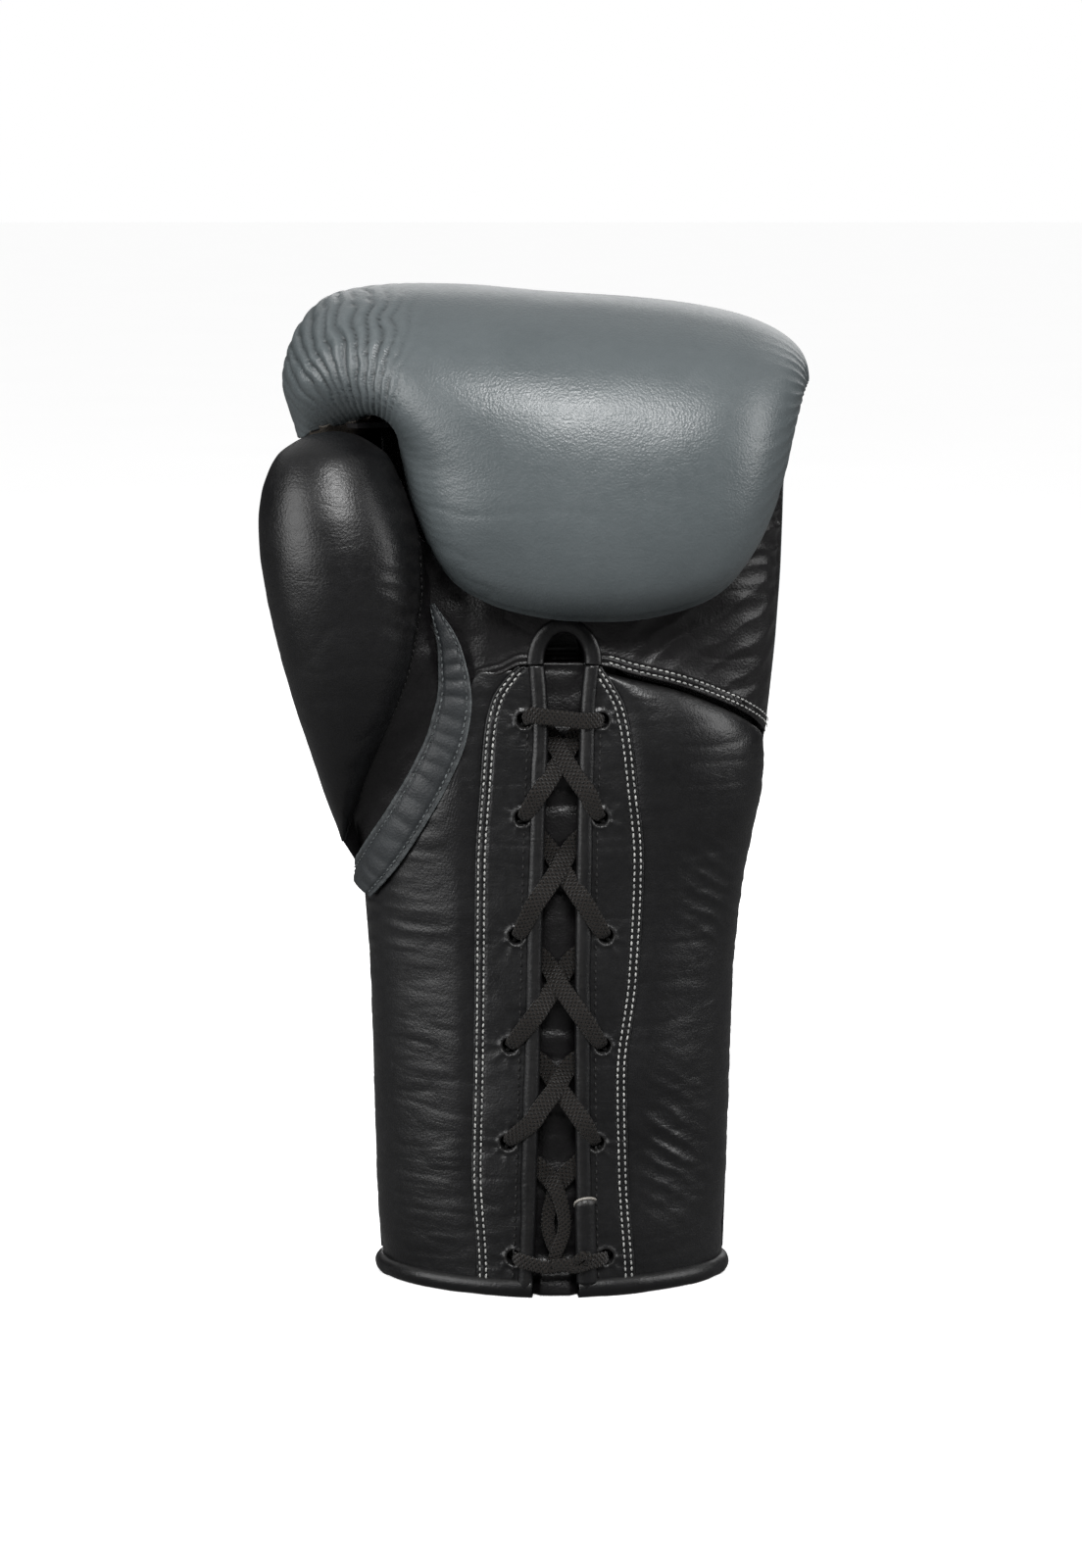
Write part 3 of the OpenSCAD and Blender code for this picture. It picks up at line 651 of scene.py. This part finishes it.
def thumb():
    zs = np.concatenate([np.linspace(144.2, 262, 116), 262 + 15.4 * np.sin(np.linspace(0.02, np.pi / 2, 44))])
    a = np.linspace(0, 360, 130, endpoint=False)
    Z, A = np.meshgrid(zs, a, indexing="ij")
    R = th_hw(Z)
    ca, sa = np.cos(np.radians(A)), np.sin(np.radians(A))
    P = np.stack([th_cx(Z) + R * ca, th_cy(Z) + (R * 0.93 + 3.5 * sstep(215, 160, Z) * sstep(144, 156, Z))
        * sa, Z], -1)
    n = np.stack([ca, sa, 0 * ca], -1)
    # a keel along the seam on the inner side, drag wrinkles beside it, soft swells elsewhere
    t = -1.4 * (fbm(P, (30, 30, 40), 31) - 0.5)
    t += 0.25 * crease(P, (30, 30, 10), 33, 8) * sstep(240, 215, Z)
    seam = (A + 180) % 360 - 180 + 12 - 14 * sstep(235, 265, Z)
    inner = bump(seam, -16, 22)
    t += 0.9 * bump(seam, 0, 2.2) - 0.5 * bump(seam, -6, 4)
    wr = np.abs(np.sin(np.radians((Z + 0.35 * P[..., 0]) * 180 / 6.0 + 110 * fbm(P, (16, 16, 14), 35))))
    t += inner * sstep(205, 222, Z) * sstep(250, 232, Z) * 0.75 * wr
    P = P - n * t[..., None]
    V = P.reshape(-1, 3); r, c = P.shape[:2]
    F = quads(r, c, closed=True)
    L = np.broadcast_to(zs[:, None], (r, c)); U = np.broadcast_to((a * 0.4)[None], (r, c))
    # the wrinkles beside the seam are lightened from z 205 up: a painted highlight streak
    o = obj("thumb_leather", V, F, BLACK, TH, uv=np.stack([U, L], -1) / 10,
        wear_and_painted_light=np.clip(inner * 0.2 * wr * sstep(205, 222, Z), 0, 1))
    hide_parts("thumb_shell", "thumb_foam", "thumb_lining")
    z = np.linspace(147, 262, 300); an = np.radians(-15.5 + 14 * sstep(235, 265, z)); R = th_hw(z)
    d = np.stack([np.cos(an), np.sin(an), 0 * z], -1)
    C = np.stack([th_cx(z), th_cy(z), z], -1) + d * (np.stack([R, R * 0.93, 0 * z], -1) + 0.1)
    stitches("thumb_seam_stitches", [(C, d)], THREAD3, TH, pitch=2.3, length=1.6, high=0.42)


thumb()

# ---------------------------------------------------------------- crescent strip and gusset
cr_x = crv((0, -63.0), (0.14, -55.8), (0.28, -46.4), (0.42, -38.6), (0.56, -33.2), (0.70, -31.0),
    (0.84, -32.4), (1, -38))
cr_z = crv((0, 129), (0.14, 140), (0.28, 155), (0.42, 169), (0.56, 182), (0.70, 195), (0.84, 208), (1, 223))
cr_w = crv((0, 5.0), (0.2, 6.4), (0.55, 6.2), (0.75, 4.9), (0.9, 3.0), (1, 0.8))


def ribbon(k, s, t):
    e = 0.02
    k = np.asarray(k, float)
    dx = cr_x(np.minimum(1, k + e)) - cr_x(np.maximum(0, k - e))
    dz = cr_z(np.minimum(1, k + e)) - cr_z(np.maximum(0, k - e))
    l = np.hypot(dx, dz)
    return face(cr_x(k) + s * dz / l, cr_z(k) - s * dx / l, t)


def crescent():
    k = np.linspace(0, 1, 150); s = np.linspace(-1, 1, 22)
    K, S = np.meshgrid(k, s, indexing="ij")
    sw = S * cr_w(K)
    base = ribbon(K, sw, 0)
    t = -1.9 - 0.8 * (1 - S**2) - 0.55 * np.abs(np.sin(np.radians(K * 180 * 17
        + 140 * fbm(base, (14, 14, 14), 41)))) \
        * (1 - 0.6 * S**2) * (0.5 + vnoise(base / 18, 44)) + 0.45 * bump(np.abs(S), 0.72, 0.1)
    P = ribbon(K, sw, t)
    o = sheet("thumb_crescent_leather", P, GREY2, ROOT, turn=1.6, flip=normals(P)[..., 1].mean() > 0,
              wear_and_painted_light=0.6 * bump(np.abs(S), 0.98, 0.06))
    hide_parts("thumb_crescent")
    paths = []
    for q in (-0.72, 0.72):
        kk = np.linspace(0.01, 0.99, 160); C = ribbon(kk, q * cr_w(kk), -2.25)
        paths.append((C, C - ribbon(kk, q * cr_w(kk), 0)))
    stitches("thumb_crescent_stitches", paths, THREAD2, ROOT, pitch=2.2)


crescent()


def gusset():
    """Black leather between the crescent strip and the thumb, and round the thumb's root."""
    k = np.linspace(-0.02, 1.12, 120); e = np.linspace(0, 1, 30)
    K, E = np.meshgrid(k, e, indexing="ij")
    kc = np.clip(K, 0, 1)
    far = ribbon(kc, -cr_w(kc) * 0.9, 0.5) + np.stack([0 * K, 0 * K, np.maximum(0, K - 1) * 60], -1)
    z = 145 + 90 * np.clip(K, 0, 1.12)
    an = np.radians(-10 + 6 * np.clip(K, 0, 1))
    near = np.stack([th_cx(z) + (th_hw(z) - 1.2) * np.cos(an), th_cy(z) + (th_hw(z) - 1.2) * np.sin(an), z],
        -1)
    P = far * (1 - E[..., None]) + near * E[..., None]
    P[..., 1] += 1.5 * np.sin(np.pi * E) + 0.9 * (fbm(P, (9, 9, 9), 47) - 0.5) * 2 * np.sin(np.pi * E)
    o = sheet("thumb_gusset_leather", P, PALM, ROOT, turn=1.0, flip=normals(P)[..., 1].mean() > 0)
    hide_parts("thumb_gusset")


gusset()


# ---------------------------------------------------------------- cuff: facings, bindings, flaps, hem
xs = crv((0, 0.8), (100, 1.6), (150, 2.4), (186, 3.4), (216, 3.5))
gap = crv((0, 7.4), (30, 6.4), (97, 5.3), (150, 5.0), (186, 4.9), (196, 5.4), (206, 6.4))
seamL = crv((0, -22.4), (7.6, -22.4), (40, -24.1), (72, -23.4), (103, -23.0), (140, -22.6), (166, -20.9),
    (184, -19.4), (193, -17.2), (200, -12.6), (204, -8.9))
seamR = crv((0, 24.6), (6, 24.4), (40, 22.2), (72, 21.6), (103, 25.2), (141, 26.8), (166, 24.6),
    (182, 22.6), (191, 20.4), (198, 16.6), (203, 13.2))
hole_z = [186.5, 155.5, 117.5, 82, 50.5, 13.0]
hole_l = [-9.0, -9.7, -11.6, -13.7, -14.4, -12.4]
hole_r = [15.2, 15.0, 16.8, 15.9, 13.9, 17.0]
left_top = crv((-90, 129), (-62, 134), (-50, 145), (-40, 158), (-32, 172), (-26, 192), (-20, 203))
FOLD = (0.200, 0.108)     # heights in metres over which flap_weight rises from 0 to 1; a lace strand it weighs above 0.01 is left unattached


def bend(o):
    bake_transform(o)


def facing(side):
    zs = np.linspace(3.5, 203.5, 330); k = np.linspace(0, 1, 36)
    Z, K = np.meshgrid(zs, k, indexing="ij")
    x0 = xs(Z) + side * (gap(Z) + 3.4)
    x1 = (seamL(Z) - 2.4) if side < 0 else (seamR(Z) + 2.4)
    x1 = np.where(side * (x1 - x0) < 1.0, x0 + side * 1.0, x1)
    X = x0 + (x1 - x0) * K
    B = face(X, Z, 0)
    t = -0.9 * (fbm(B, (16, 16, 12), 51 + side) - 0.5) - 0.5
    t += 0.20 * crease(B, (20, 20, 6), 53 + side, 9)
    # wrinkles that the lace's pull draws from each hole, and the sunk stitch rows
    for z, x in zip(hole_z, hole_l if side < 0 else hole_r):
        d = np.hypot(X - x, Z - z); an = np.arctan2(Z - z, X - x)
        t += 0.35 * sstep(11, 3, d) * np.abs(np.sin(an * 4 + z)) * sstep(2.4, 3.6, d)
        t -= 0.45 * bump(d, 3.1, 0.55)
        t += 5.5 * sstep(2.45, 2.0, d)
    sm = seamL(Z) if side < 0 else seamR(Z)
    for q in (-1.0, 1.0):
        t += 0.35 * bump(X - sm, q, 0.45)
    t += roll(np.abs(X - x1), 1.0)
    P = face(X, Z, t)
    # lighter rings round the holes; painted shade darkens the sunk stitch rows and the inner edge under the
    # binding
    wear_and_painted_light = np.zeros_like(X)
    for z, x in zip(hole_z, hole_l if side < 0 else hole_r):
        wear_and_painted_light = np.maximum(wear_and_painted_light, 0.4 * bump(np.hypot(X - x, Z - z), 2.75, 0.35))
    for q in (-1.0, 1.0):
        wear_and_painted_light = wear_and_painted_light - 0.6 * bump(X - sm, q, 0.5) * (wear_and_painted_light < 0.1)
    wear_and_painted_light = wear_and_painted_light - 0.8 * bump(np.abs(X - x0), 0, 1.6) * (wear_and_painted_light < 0.1)
    nm = "left" if side < 0 else "right"
    o = sheet("lace_facing_%s_leather" % nm, P, BLACK, None, turn=1.2, flip=normals(P)[..., 1].mean() > 0,
        wear_and_painted_light=wear_and_painted_light)
    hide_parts("lace_facing_" + nm)
    bend(o)
    zz = np.linspace(5.5, 202.5, 420); paths = []
    for q in (-1.0, 1.0):
        x = (seamL(zz) if side < 0 else seamR(zz)) + q
        C = face(x, zz, -0.55); paths.append((C, C - face(x, zz, 1)))
    s = stitches("lace_facing_%s_stitches" % nm, paths, THREAD, None, seed=5 + side)
    bend(s)
    zz = np.linspace(6, 186, 400); x = xs(zz) + side * (gap(zz) + 6.6)
    C = face(x, zz, -0.55)
    s = stitches("edge_stitches_" + nm, [(C, C - face(x, zz, 1))], THREAD3, None, pitch=2.6, length=1.7,
        seed=8 + side)
    bend(s)


def binding(side):
    """Rolled leather over the slit's edge."""
    zs = np.linspace(3.5, 204, 300); a = np.radians(np.linspace(-110, 150, 20))
    Z, A = np.meshgrid(zs, a, indexing="ij")
    wv = 0.25 * (vnoise(np.stack([Z / 13, 0 * Z, 0 * Z + side], -1), 61) - 0.5)
    hw = 2.7 + wv; ht = 2.3 + wv * 0.7
    # A = -110 is behind the inner edge, 150 is on the facing
    X = xs(Z) + side * (gap(Z) + hw - hw * np.cos(A))
    t = 0.35 - ht * np.sin(np.clip(A, -1.9, np.pi))
    P = face(X, Z, t)
    P = P + (fbm(P, (9, 9, 10), 63) - 0.5)[..., None] * np.array([0.0, 0.25, 0.0])
    nm = "left" if side < 0 else "right"
    n = normals(P); o = sheet("edge_binding_%s_leather" % nm, P, EDGE, None, turn=0.3,
                              flip=(n[:, 10, 1].mean() > 0), wear_and_painted_light=0.10 * bump(A, 1.3, 0.35))
    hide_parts("edge_binding_" + nm)
    bend(o)


def flap(side):
    nm = "left" if side < 0 else "right"
    k = np.linspace(0, 1, 210); g = np.linspace(0, 1, 84)
    K, G = np.meshgrid(k, g, indexing="ij")
    if side > 0:
        top_a = crv((12, 202), (20, 199.5), (33, 196), (50, 190), (70, 183), (90, 177))
    else:
        top_a = left_top
    z = 3.5 + K * 185
    for _ in range(3):
        x_in = (seamL(np.minimum(z, 203)) - 1.2) if side < 0 else (seamR(np.minimum(z, 203)) + 1.2)
        a_in = at_x(x_in, z)
        a = a_in + (side * 89.85 - a_in) * G
        z = 3.5 + (top_a(a) - 3.5) * K
    B = tube(a, z, 0)
    e = edge_dist(B)
    puff = 2.6 * (1 - np.exp(-e[0] / 16)) * (1 - np.exp(-e[1] / 5.5)) * (1 - np.exp(-e[2] / 5)) * (1
        - np.exp(-e[3] / 9))
    t = 0.7 - puff
    if side > 0:
        t -= 2.6 * (1 - np.exp(-e[1] / 7)) * (1 - np.exp(-e[2] / 7)) * sstep(120, 172, B[..., 2]) * (1
            - np.exp(-e[3] / 9))
    t -= 1.1 * (fbm(B, (34, 34, 20), 71 + side) - 0.5)
    t += 0.22 * crease(B, (48, 48, 7), 73 + side, 8) + 0.13 * crease(B, (26, 26, 4), 75, 9)
    if side > 0:
        w1 = bump(B[..., 2], 48, 20) * bump(B[..., 0], 36, 9)
        w2 = bump(B[..., 2], 128, 16) * bump(B[..., 0], 52, 10)
        t += (w1 + w2) * 0.55 * np.abs(np.sin(np.radians((B[..., 2] + 0.8 * B[..., 0]) * 180 / 6.5
            + 120 * fbm(B, (20, 20, 9), 77))))
    else:
        w1 = sstep(0.8, 1.0, K) + bump(B[..., 2], 118, 10)
        t += w1 * 0.34 * np.abs(np.sin(np.radians(B[..., 2] * 180 / 6 + 120 * fbm(B, (20, 20, 9), 78))))
    t += roll(e[1], 1.4) * 0.8
    P = tube(a, z, t)
    n = normals(P)
    o = sheet("cuff_panel_%s_leather" % nm, P, BLACK, None, turn=1.5, flip=(n[..., 1].mean() > 0),
        wear_and_painted_light=0.25 * bump(e[1], 1.2, 1.0))
    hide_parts("cuff_panel_" + nm, "wrist_pad_" + nm)
    bend(o)


def hem(name, a0, a1, body, n, node):
    """Rolled binding round the cuff's foot."""
    a = np.linspace(a0, a1, n); r = np.radians(np.linspace(-100, 250, 26))
    A, R = np.meshgrid(a, r, indexing="ij")
    w = 0.3 * (vnoise(np.stack([A / 7, 0 * A, 0 * A], -1), 81) - 0.5)
    Z = 3.2 + (3.1 + w) * np.sin(R)
    Z = np.maximum(Z, 0.05)
    t = 0.7 - (2.6 + w) * np.cos(R)
    P = tube(A, Z, t)
    nn = normals(P)
    o = sheet(name, P, EDGE, body, turn=0.2,
        flip=(nn[n // 2, 7] @ (tube(a[n // 2], 3, 0) - tube(a[n // 2], 3, 3)) < 0),
              wear_and_painted_light=0.10 * bump(R, 0.9, 0.4))
    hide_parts(node)


def overlap():
    zs = np.linspace(5, 30.5, 40); a = np.radians(np.linspace(-60, 165, 20))
    Z, A = np.meshgrid(zs, a, indexing="ij")
    Z = Z + 2.0 * np.sin(A) * (Z > 30) + 0.012 * (A + 0.5) * (Z - 5)
    X = xs(Z) + gap(Z) + 3.0 - 3.5 * np.cos(A); t = 0.3 - 2.75 * np.sin(np.clip(A, -1.9, np.pi))
    P = face(X, Z, t)
    o = sheet("edge_binding_overlap", P, EDGE, None, turn=0.7, flip=normals(P)[:, 10, 1].mean() > 0,
        wear_and_painted_light=1.0 * sstep(1.2, 0.3, edge_dist(P)[1]))
    bend(o)
    R = P[-1]; N = normals(P)[-1]; N = N * (1 if N[10] @ np.array([0, -1.0, 0]) > 0 else -1)
    o = sweep("edge_binding_raw_end", R[2:] - N[2:] * 0.2, N[2:], 0.8, 0.9, RAW, None,
        n=8)
    bend(o)


overlap()
for s in (-1, 1):
    facing(s); binding(s); flap(s)
hem("hem_left_leather", -89.95, float(at_x(xs(0) - gap(0), 0)), FL, 120, "hem_binding_left")
hem("hem_right_leather", float(at_x(xs(0) + gap(0), 0)), 89.95, FR, 120, "hem_binding_right")
hem("hem_back_leather", 90.05, 269.95, ROOT, 200, "hem_binding_back")


def slit_top():
    """Rolled binding round the teardrop top of the slit."""
    b = np.linspace(-4, 184, 90); a = np.radians(np.linspace(-110, 150, 20))
    Bq, A = np.meshgrid(b, a, indexing="ij")
    hw = 2.9; r = hw - hw * np.cos(A)
    cx = 3.5
    X = cx + (6.4 + r) * np.cos(np.radians(Bq)); Z = 205 + (9.0 + r * 0.9) * np.sin(np.radians(Bq))
    P = face(X, Z, 0.6 - 2.0 * np.sin(A))
    n = normals(P)
    o = sheet("slit_top_binding_leather", P, EDGE, ROOT, turn=0.3, flip=n[:, 10, 1].mean() > 0)
    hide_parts("slit_top_binding")


slit_top()


def palm():
    """Black palm leather under the finger lobe and round the little-finger side, with a hole for the slit."""
    a = np.concatenate([np.linspace(-89.9, -27.5, 84), np.linspace(-27, 24, 90), np.linspace(24.6, 89.9, 90)])
    f = np.linspace(0, 1, 80)
    low = crv((-90, 130), (-76, 131), (-62, 135), (-50, 146), (-40, 159), (-32, 173), (-26, 193),
        (-20, 199), (-14, 201), (-8, 204), (10, 204), (14, 203.5), (20, 201.3), (33, 197.5), (50, 191.5),
        (70, 184.5), (90, 178.5))
    top = crv((-90, 268), (-76, 262), (-50, 256), (-27, 236), (-10, 226), (20, 225), (35, 224), (45, 226),
        (55, 233), (65, 248), (75, 264), (90, 284))
    F_, A = np.meshgrid(f, a, indexing="ij")
    Z = low(A) + (top(A) - low(A)) * F_
    B = tube(A, Z, 0)
    X = B[..., 0]
    hole = np.hypot((X - 3.5) / 8.6, (Z - 205) / 11.0)
    e = edge_dist(B)
    t = 0.3 - 1.6 * (fbm(B, (26, 26, 18), 91) - 0.5) * 1.4
    t += (0.05 + 0.6 * vnoise(B / 15, 95)) * np.abs(np.sin(np.radians((Z - 0.75 * X) * 180 / 9
        + 300 * fbm(B, (24, 24, 20), 92)))) * sstep(20, 34, X) * sstep(262, 225, Z)
    t += 0.25 * crease(B, (30, 30, 10), 93, 7)
    t += 1.1 * sstep(50, 68, A) * sstep(215, 250,
        Z) * np.abs(np.sin(np.radians(Z * 180 / 5.5 + 140 * fbm(B, (12, 12, 10), 94))))
    t = t * sstep(89.9, 84, A) + 0.2 * sstep(84, 89.9, A)
    t += 0.35 * bump(e[0], 1.2, 0.5) + 0.35 * bump(e[0], 3.2, 0.5)
    t += 14 * sstep(1.0, 0.86, hole) * (Z < 222)
    t -= 0.5 * bump(e[0], 2.2, 3)
    t += 7 * sstep(-36, -60, A) * sstep(-89, -76, A) * sstep(165, 205, Z) + 0.9 * sstep(-16, -24, A)
    P = tube(A, Z, t)
    o = sheet("palm_leather", P, PALM, ROOT, turn=1.6, flip=normals(P)[..., 1].mean() > 0,
        wear_and_painted_light=0.2 * bump(e[0], 0.4, 0.5))
    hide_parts("palm_panel", "palm_foam")
    paths = []
    for d in (1.2, 3.2):
        aa = np.linspace(14, 88, 300); z = low(aa) + d
        C = tube(aa, z, -0.35); paths.append((C, C - tube(aa, z, 1)))
    stitches("palm_seam_stitches", paths, THREAD, ROOT, seed=13)


palm()


def seam_backing(side):
    """A strip behind each side seam, and the piping in it."""
    zs = np.linspace(5, 268, 90); aa = 90 * side + np.linspace(-5, 5, 9)
    Z, A = np.meshgrid(zs, aa, indexing="ij")
    P = tube(A, Z, 3.0 + 0.5 * (fbm(np.stack([A, A, Z], -1), (5, 5, 9), 97) - 0.5))
    sheet("side_seam_backing_%s" % ("right" if side > 0 else "left"), P, PALM, ROOT, turn=0.6,
          flip=(normals(P)[..., 0].mean() * side) < 0)
    zs = np.concatenate([np.linspace(8, 128, 160), np.linspace(129, 266, 180)]); A = 90 * side + 0 * zs
    C = tube(A, zs, 0.9); N = C - tube(A, zs, 2.8)
    sweep("side_seam_piping_%s" % ("right" if side > 0 else "left"), C, N, 1.5, 1.1, EDGE, ROOT,
        n=8, lens=True)


seam_backing(-1)
seam_backing(1)


def back():
    a = np.linspace(90.1, 269.9, 200); zs = np.linspace(3.5, 130.5, 120)
    Z, A = np.meshgrid(zs, a, indexing="ij")
    B = tube(A, Z, 0); e = edge_dist(B)
    t = 0.7 - 2.2 * (1 - np.exp(-e[0] / 16)) * (1 - np.exp(-e[1] / 6)) * (1 - np.exp(-e[2] / 9)) * (1
        - np.exp(-e[3] / 9))
    t -= 1.2 * (fbm(B, (40, 40, 22), 101) - 0.5)
    t += 0.22 * crease(B, (50, 50, 8), 102, 8)
    patch = np.maximum(np.abs(A - 180) / 33, np.abs(Z - 62) / 33)
    t += 0.6 * sstep(1.06, 0.98, patch)
    P = tube(A, Z, t)
    o = sheet("cuff_back_leather", P, BLACK, ROOT, turn=1.5, flip=normals(P)[..., 1].mean() < 0,
        wear_and_painted_light=0.25 * bump(e[1], 1.2, 1))
    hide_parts("cuff_back_panel", "wrist_pad_back")
    u = np.linspace(-1, 1, 90); v = np.linspace(-1, 1, 70)
    U, V = np.meshgrid(v, u, indexing="ij")
    cr = np.maximum(np.abs(U), np.abs(V))
    cc = np.hypot(np.maximum(0, np.abs(U) - 0.8), np.maximum(0, np.abs(V) - 0.8)) / 0.2
    Aa = 180 + V * 31 * np.where(cc > 1, 1 - 0.05 * (cc - 1), 1)
    Zz = 62 + U * 31 * np.where(cc > 1, 1 - 0.05 * (cc - 1), 1)
    t2 = -2.2 - 0.7 * (1 - cr**4) - 0.4 * (fbm(tube(Aa, Zz, 0), (20, 20, 20), 103) - 0.5)
    Q = tube(Aa, Zz, t2)
    o = sheet("wrist_patch_leather", Q, GREY2, ROOT, turn=2.0, flip=normals(Q)[..., 1].mean() < 0,
        wear_and_painted_light=0.5 * bump(cr, 0.99, 0.02))
    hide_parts("wrist_patch")
    c = np.concatenate([np.stack([s, -np.ones(60)], 1) for s in [np.linspace(-1, 1, 60)]]
        + [np.stack([np.ones(60), np.linspace(-1, 1, 60)], 1)]
                       + [np.stack([np.linspace(1, -1, 60), np.ones(60)], 1)]
                       + [np.stack([-np.ones(60), np.linspace(1, -1, 60)], 1)]) * 0.9
    C = tube(180 + c[:, 0] * 31, 62 + c[:, 1] * 31, -2.75)
    stitches("wrist_patch_stitches", [(C, C - tube(180 + c[:, 0] * 31, 62 + c[:, 1] * 31, 0))], THREAD,
        ROOT, seed=17)


back()


# ---------------------------------------------------------------- tongue
def tongue():
    zs = np.linspace(0.4, 204, 200); xx = np.linspace(-16, 20, 46)
    Z, X = np.meshgrid(zs, xx, indexing="ij")
    B = face(X, Z, 6)
    t = 6.4 - 1.6 * (fbm(B, (14, 14, 20), 111) - 0.5) + 0.8 * crease(B, (26, 26, 9), 112, 5) - 1.2 * bump(Z,
        105, 40) * bump(X, 1, 8)
    t += 0.5 * np.abs(np.sin(np.radians(Z * 180 / 13 + 200 * fbm(B, (30, 30, 14), 113)))) * sstep(150, 80, Z)
    t -= 3.4 * sstep(14, 2, Z) + 1.7 * sstep(14, 2, Z) * sstep(7, 4.5, np.abs(X - 0.8))
    P = face(X, Z, t)
    o = sheet("tongue_leather", P, PALM, TO, turn=2.0, flip=normals(P)[..., 1].mean() > 0)
    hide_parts("tongue")


tongue()


# ---------------------------------------------------------------- lace
def strand(pts, width=6.0, thick=1.15, name="lace", body=None):
    """pts: rows of x, depth below the face, z, width share."""
    q = spline(pts, 14)
    C = face(q[:, 0], q[:, 2], q[:, 1])
    N0 = C - face(q[:, 0], q[:, 2], q[:, 1] + 1.0)
    D = np.gradient(C, axis=0); D /= np.linalg.norm(D, axis=1, keepdims=True)
    m = len(C) // 2
    N = np.zeros_like(C); N[m] = N0[m] - D[m] * (N0[m] @ D[m]); N[m] /= np.linalg.norm(N[m])
    for rng_, st in ((range(m + 1, len(C)), -1), (range(m - 1, -1, -1), 1)):
        for i in rng_:
            v = N[i + st] - D[i] * (N[i + st] @ D[i]); N[i] = v / (np.linalg.norm(v) + 1e-9)
    return sweep(name, C, N, width * q[:, 3], thick, LACE, body, n=12)


def flap_weight(z):
    t = np.clip((FOLD[0] * 1000 - z) / ((FOLD[0] - FOLD[1]) * 1000), 0, 1)
    return t * t * (3 - 2 * t)


def lace():
    first = True
    for i in range(5):
        zi, zj = hole_z[i], hole_z[i + 1]
        top = i % 2 == 0
        for s in (1, -1):           # s = 1 runs from the left hole down to the right hole
            xa = (hole_l if s > 0 else hole_r)[i]; xb = (hole_r if s > 0 else hole_l)[i + 1]
            over = (s > 0) == top
            zc = zi - (12 if i == 0 else 0.42 * (zi - zj)); c = float(xs(zc)); g = float(gap(zc))
            d = -0.4 if over else 1.1
            pts = [(xa, 1.5, zi - 0.5, 0.55), (xa + s * 1.2, 4.4, zi - 2, 0.7),
                (c - s * (g + 0.5), 4.9, zc + 8.0, 0.95), (c - s * 2.6, 4.2, zc + 4.2, 1.0),
                   (c, 1.6 + d, zc, 1.0), (c + s * (g - 0.8), -1.5 + d * 0.5, zc - 6.0, 1.0),
                   (c + s * (g + 2.8), -3.15, zc - 11, 1.0),
                   (xb - s * 1.6, -1.55, zj + 2.2, 0.86), (xb - s * 0.2, 0.2, zj + 0.2, 0.62),
                   (xb, 3.4, zj - 0.6, 0.5)]
            if i == 4:
                pts = pts[:4] + [(c + s * 0.2, 2.0 + d, zc, 0.86), (c + s * 2.5, 1.3 + d, zc - 8, 0.72),
                                 (c + s * 2.3, 1.0 + d * 0.8, zj + 8, 0.7),
                                 (c - s * 0.1, 1.0 + d * 0.8, zj + 1.5, 0.68),
                                 (c - s * 1.9, 2.6, zj - 3, 0.6)]
            o = strand(pts, name="lace_cross_%d%s" % (i + 1, "a" if s > 0 else "b"))
            if first:
                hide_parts("lace", "lace_tips"); first = False
            w = float(flap_weight(zj)) if i < 4 else 0.0
            if w <= 0.01:
                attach(o, ROOT)
            else:
                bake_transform(o)
    # top bar over the front
    z = hole_z[0]
    strand([(hole_l[0], 3.0, z - 0.5, 0.5), (hole_l[0] + 0.2, 0.0, z + 0.3, 0.62),
        (hole_l[0] + 2.4, -1.9, z + 1.8, 0.86),
            (-3.0, -3.3, z + 1.6, 0.86), (3.5, -2.9, z + 0.9, 0.84), (9.5, -3.3, z + 0.2, 0.86),
            (hole_r[0] - 1.6, -2.0, z + 0.2, 0.84),
            (hole_r[0] + 0.2, 0.0, z - 0.2, 0.62), (hole_r[0], 3.0, z - 0.8, 0.5)], name="lace_top_bar",
            body=ROOT)
    # bar across the bottom pair of holes, in two halves that meet under a small loop
    z = hole_z[5]
    m = [(0.6, -2.9, z - 1.6, 0.74), (-2.6, -2.9, z - 2.0, 0.72), (-6.0, -2.9, z - 1.3, 0.74),
        (hole_l[5] + 2.4, -2.0, z - 0.4, 0.8),
         (hole_l[5] + 0.4, 0.0, z, 0.62), (hole_l[5], 3.0, z + 0.5, 0.5)]
    n = [(-0.4, -3.3, z - 1.7, 0.7), (3.2, -3.3, z - 1.2, 0.74), (7.5, -3.1, z - 1.8, 0.78),
        (11.5, -3.3, z - 0.6, 0.8),
         (hole_r[5] - 1.6, -2.0, z - 0.2, 0.76), (hole_r[5], 0.0, z, 0.62), (hole_r[5], 3.0, z + 0.5, 0.5)]
    oa = strand(m, name="lace_bar_left"); ob = strand(n, name="lace_bar_right")
    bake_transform(oa)
    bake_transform(ob)
    strand([(7.0, -3.2, z - 0.5, 0.5), (8.4, -4.4, z + 1.2, 0.5), (10.2, -4.6, z + 2.0, 0.5),
        (11.6, -4.2, z + 0.8, 0.5), (11.0, -3.4, z - 1.2, 0.5)],
           name="lace_loop", body=FR)


lace()


# ---------------------------------------------------------------- pieces that keep their CAD shape
def coat(mat, *names):
    for nme in names:
        for sl in NODES[nme].material_slots:
            sl.material = mat


coat(PALM, "thumb_web", "thumb_tether", "grip_bar")
coat(LINING, "fist_lining", "palm_lining", "cuff_lining_left", "cuff_lining_right", "cuff_lining_back")
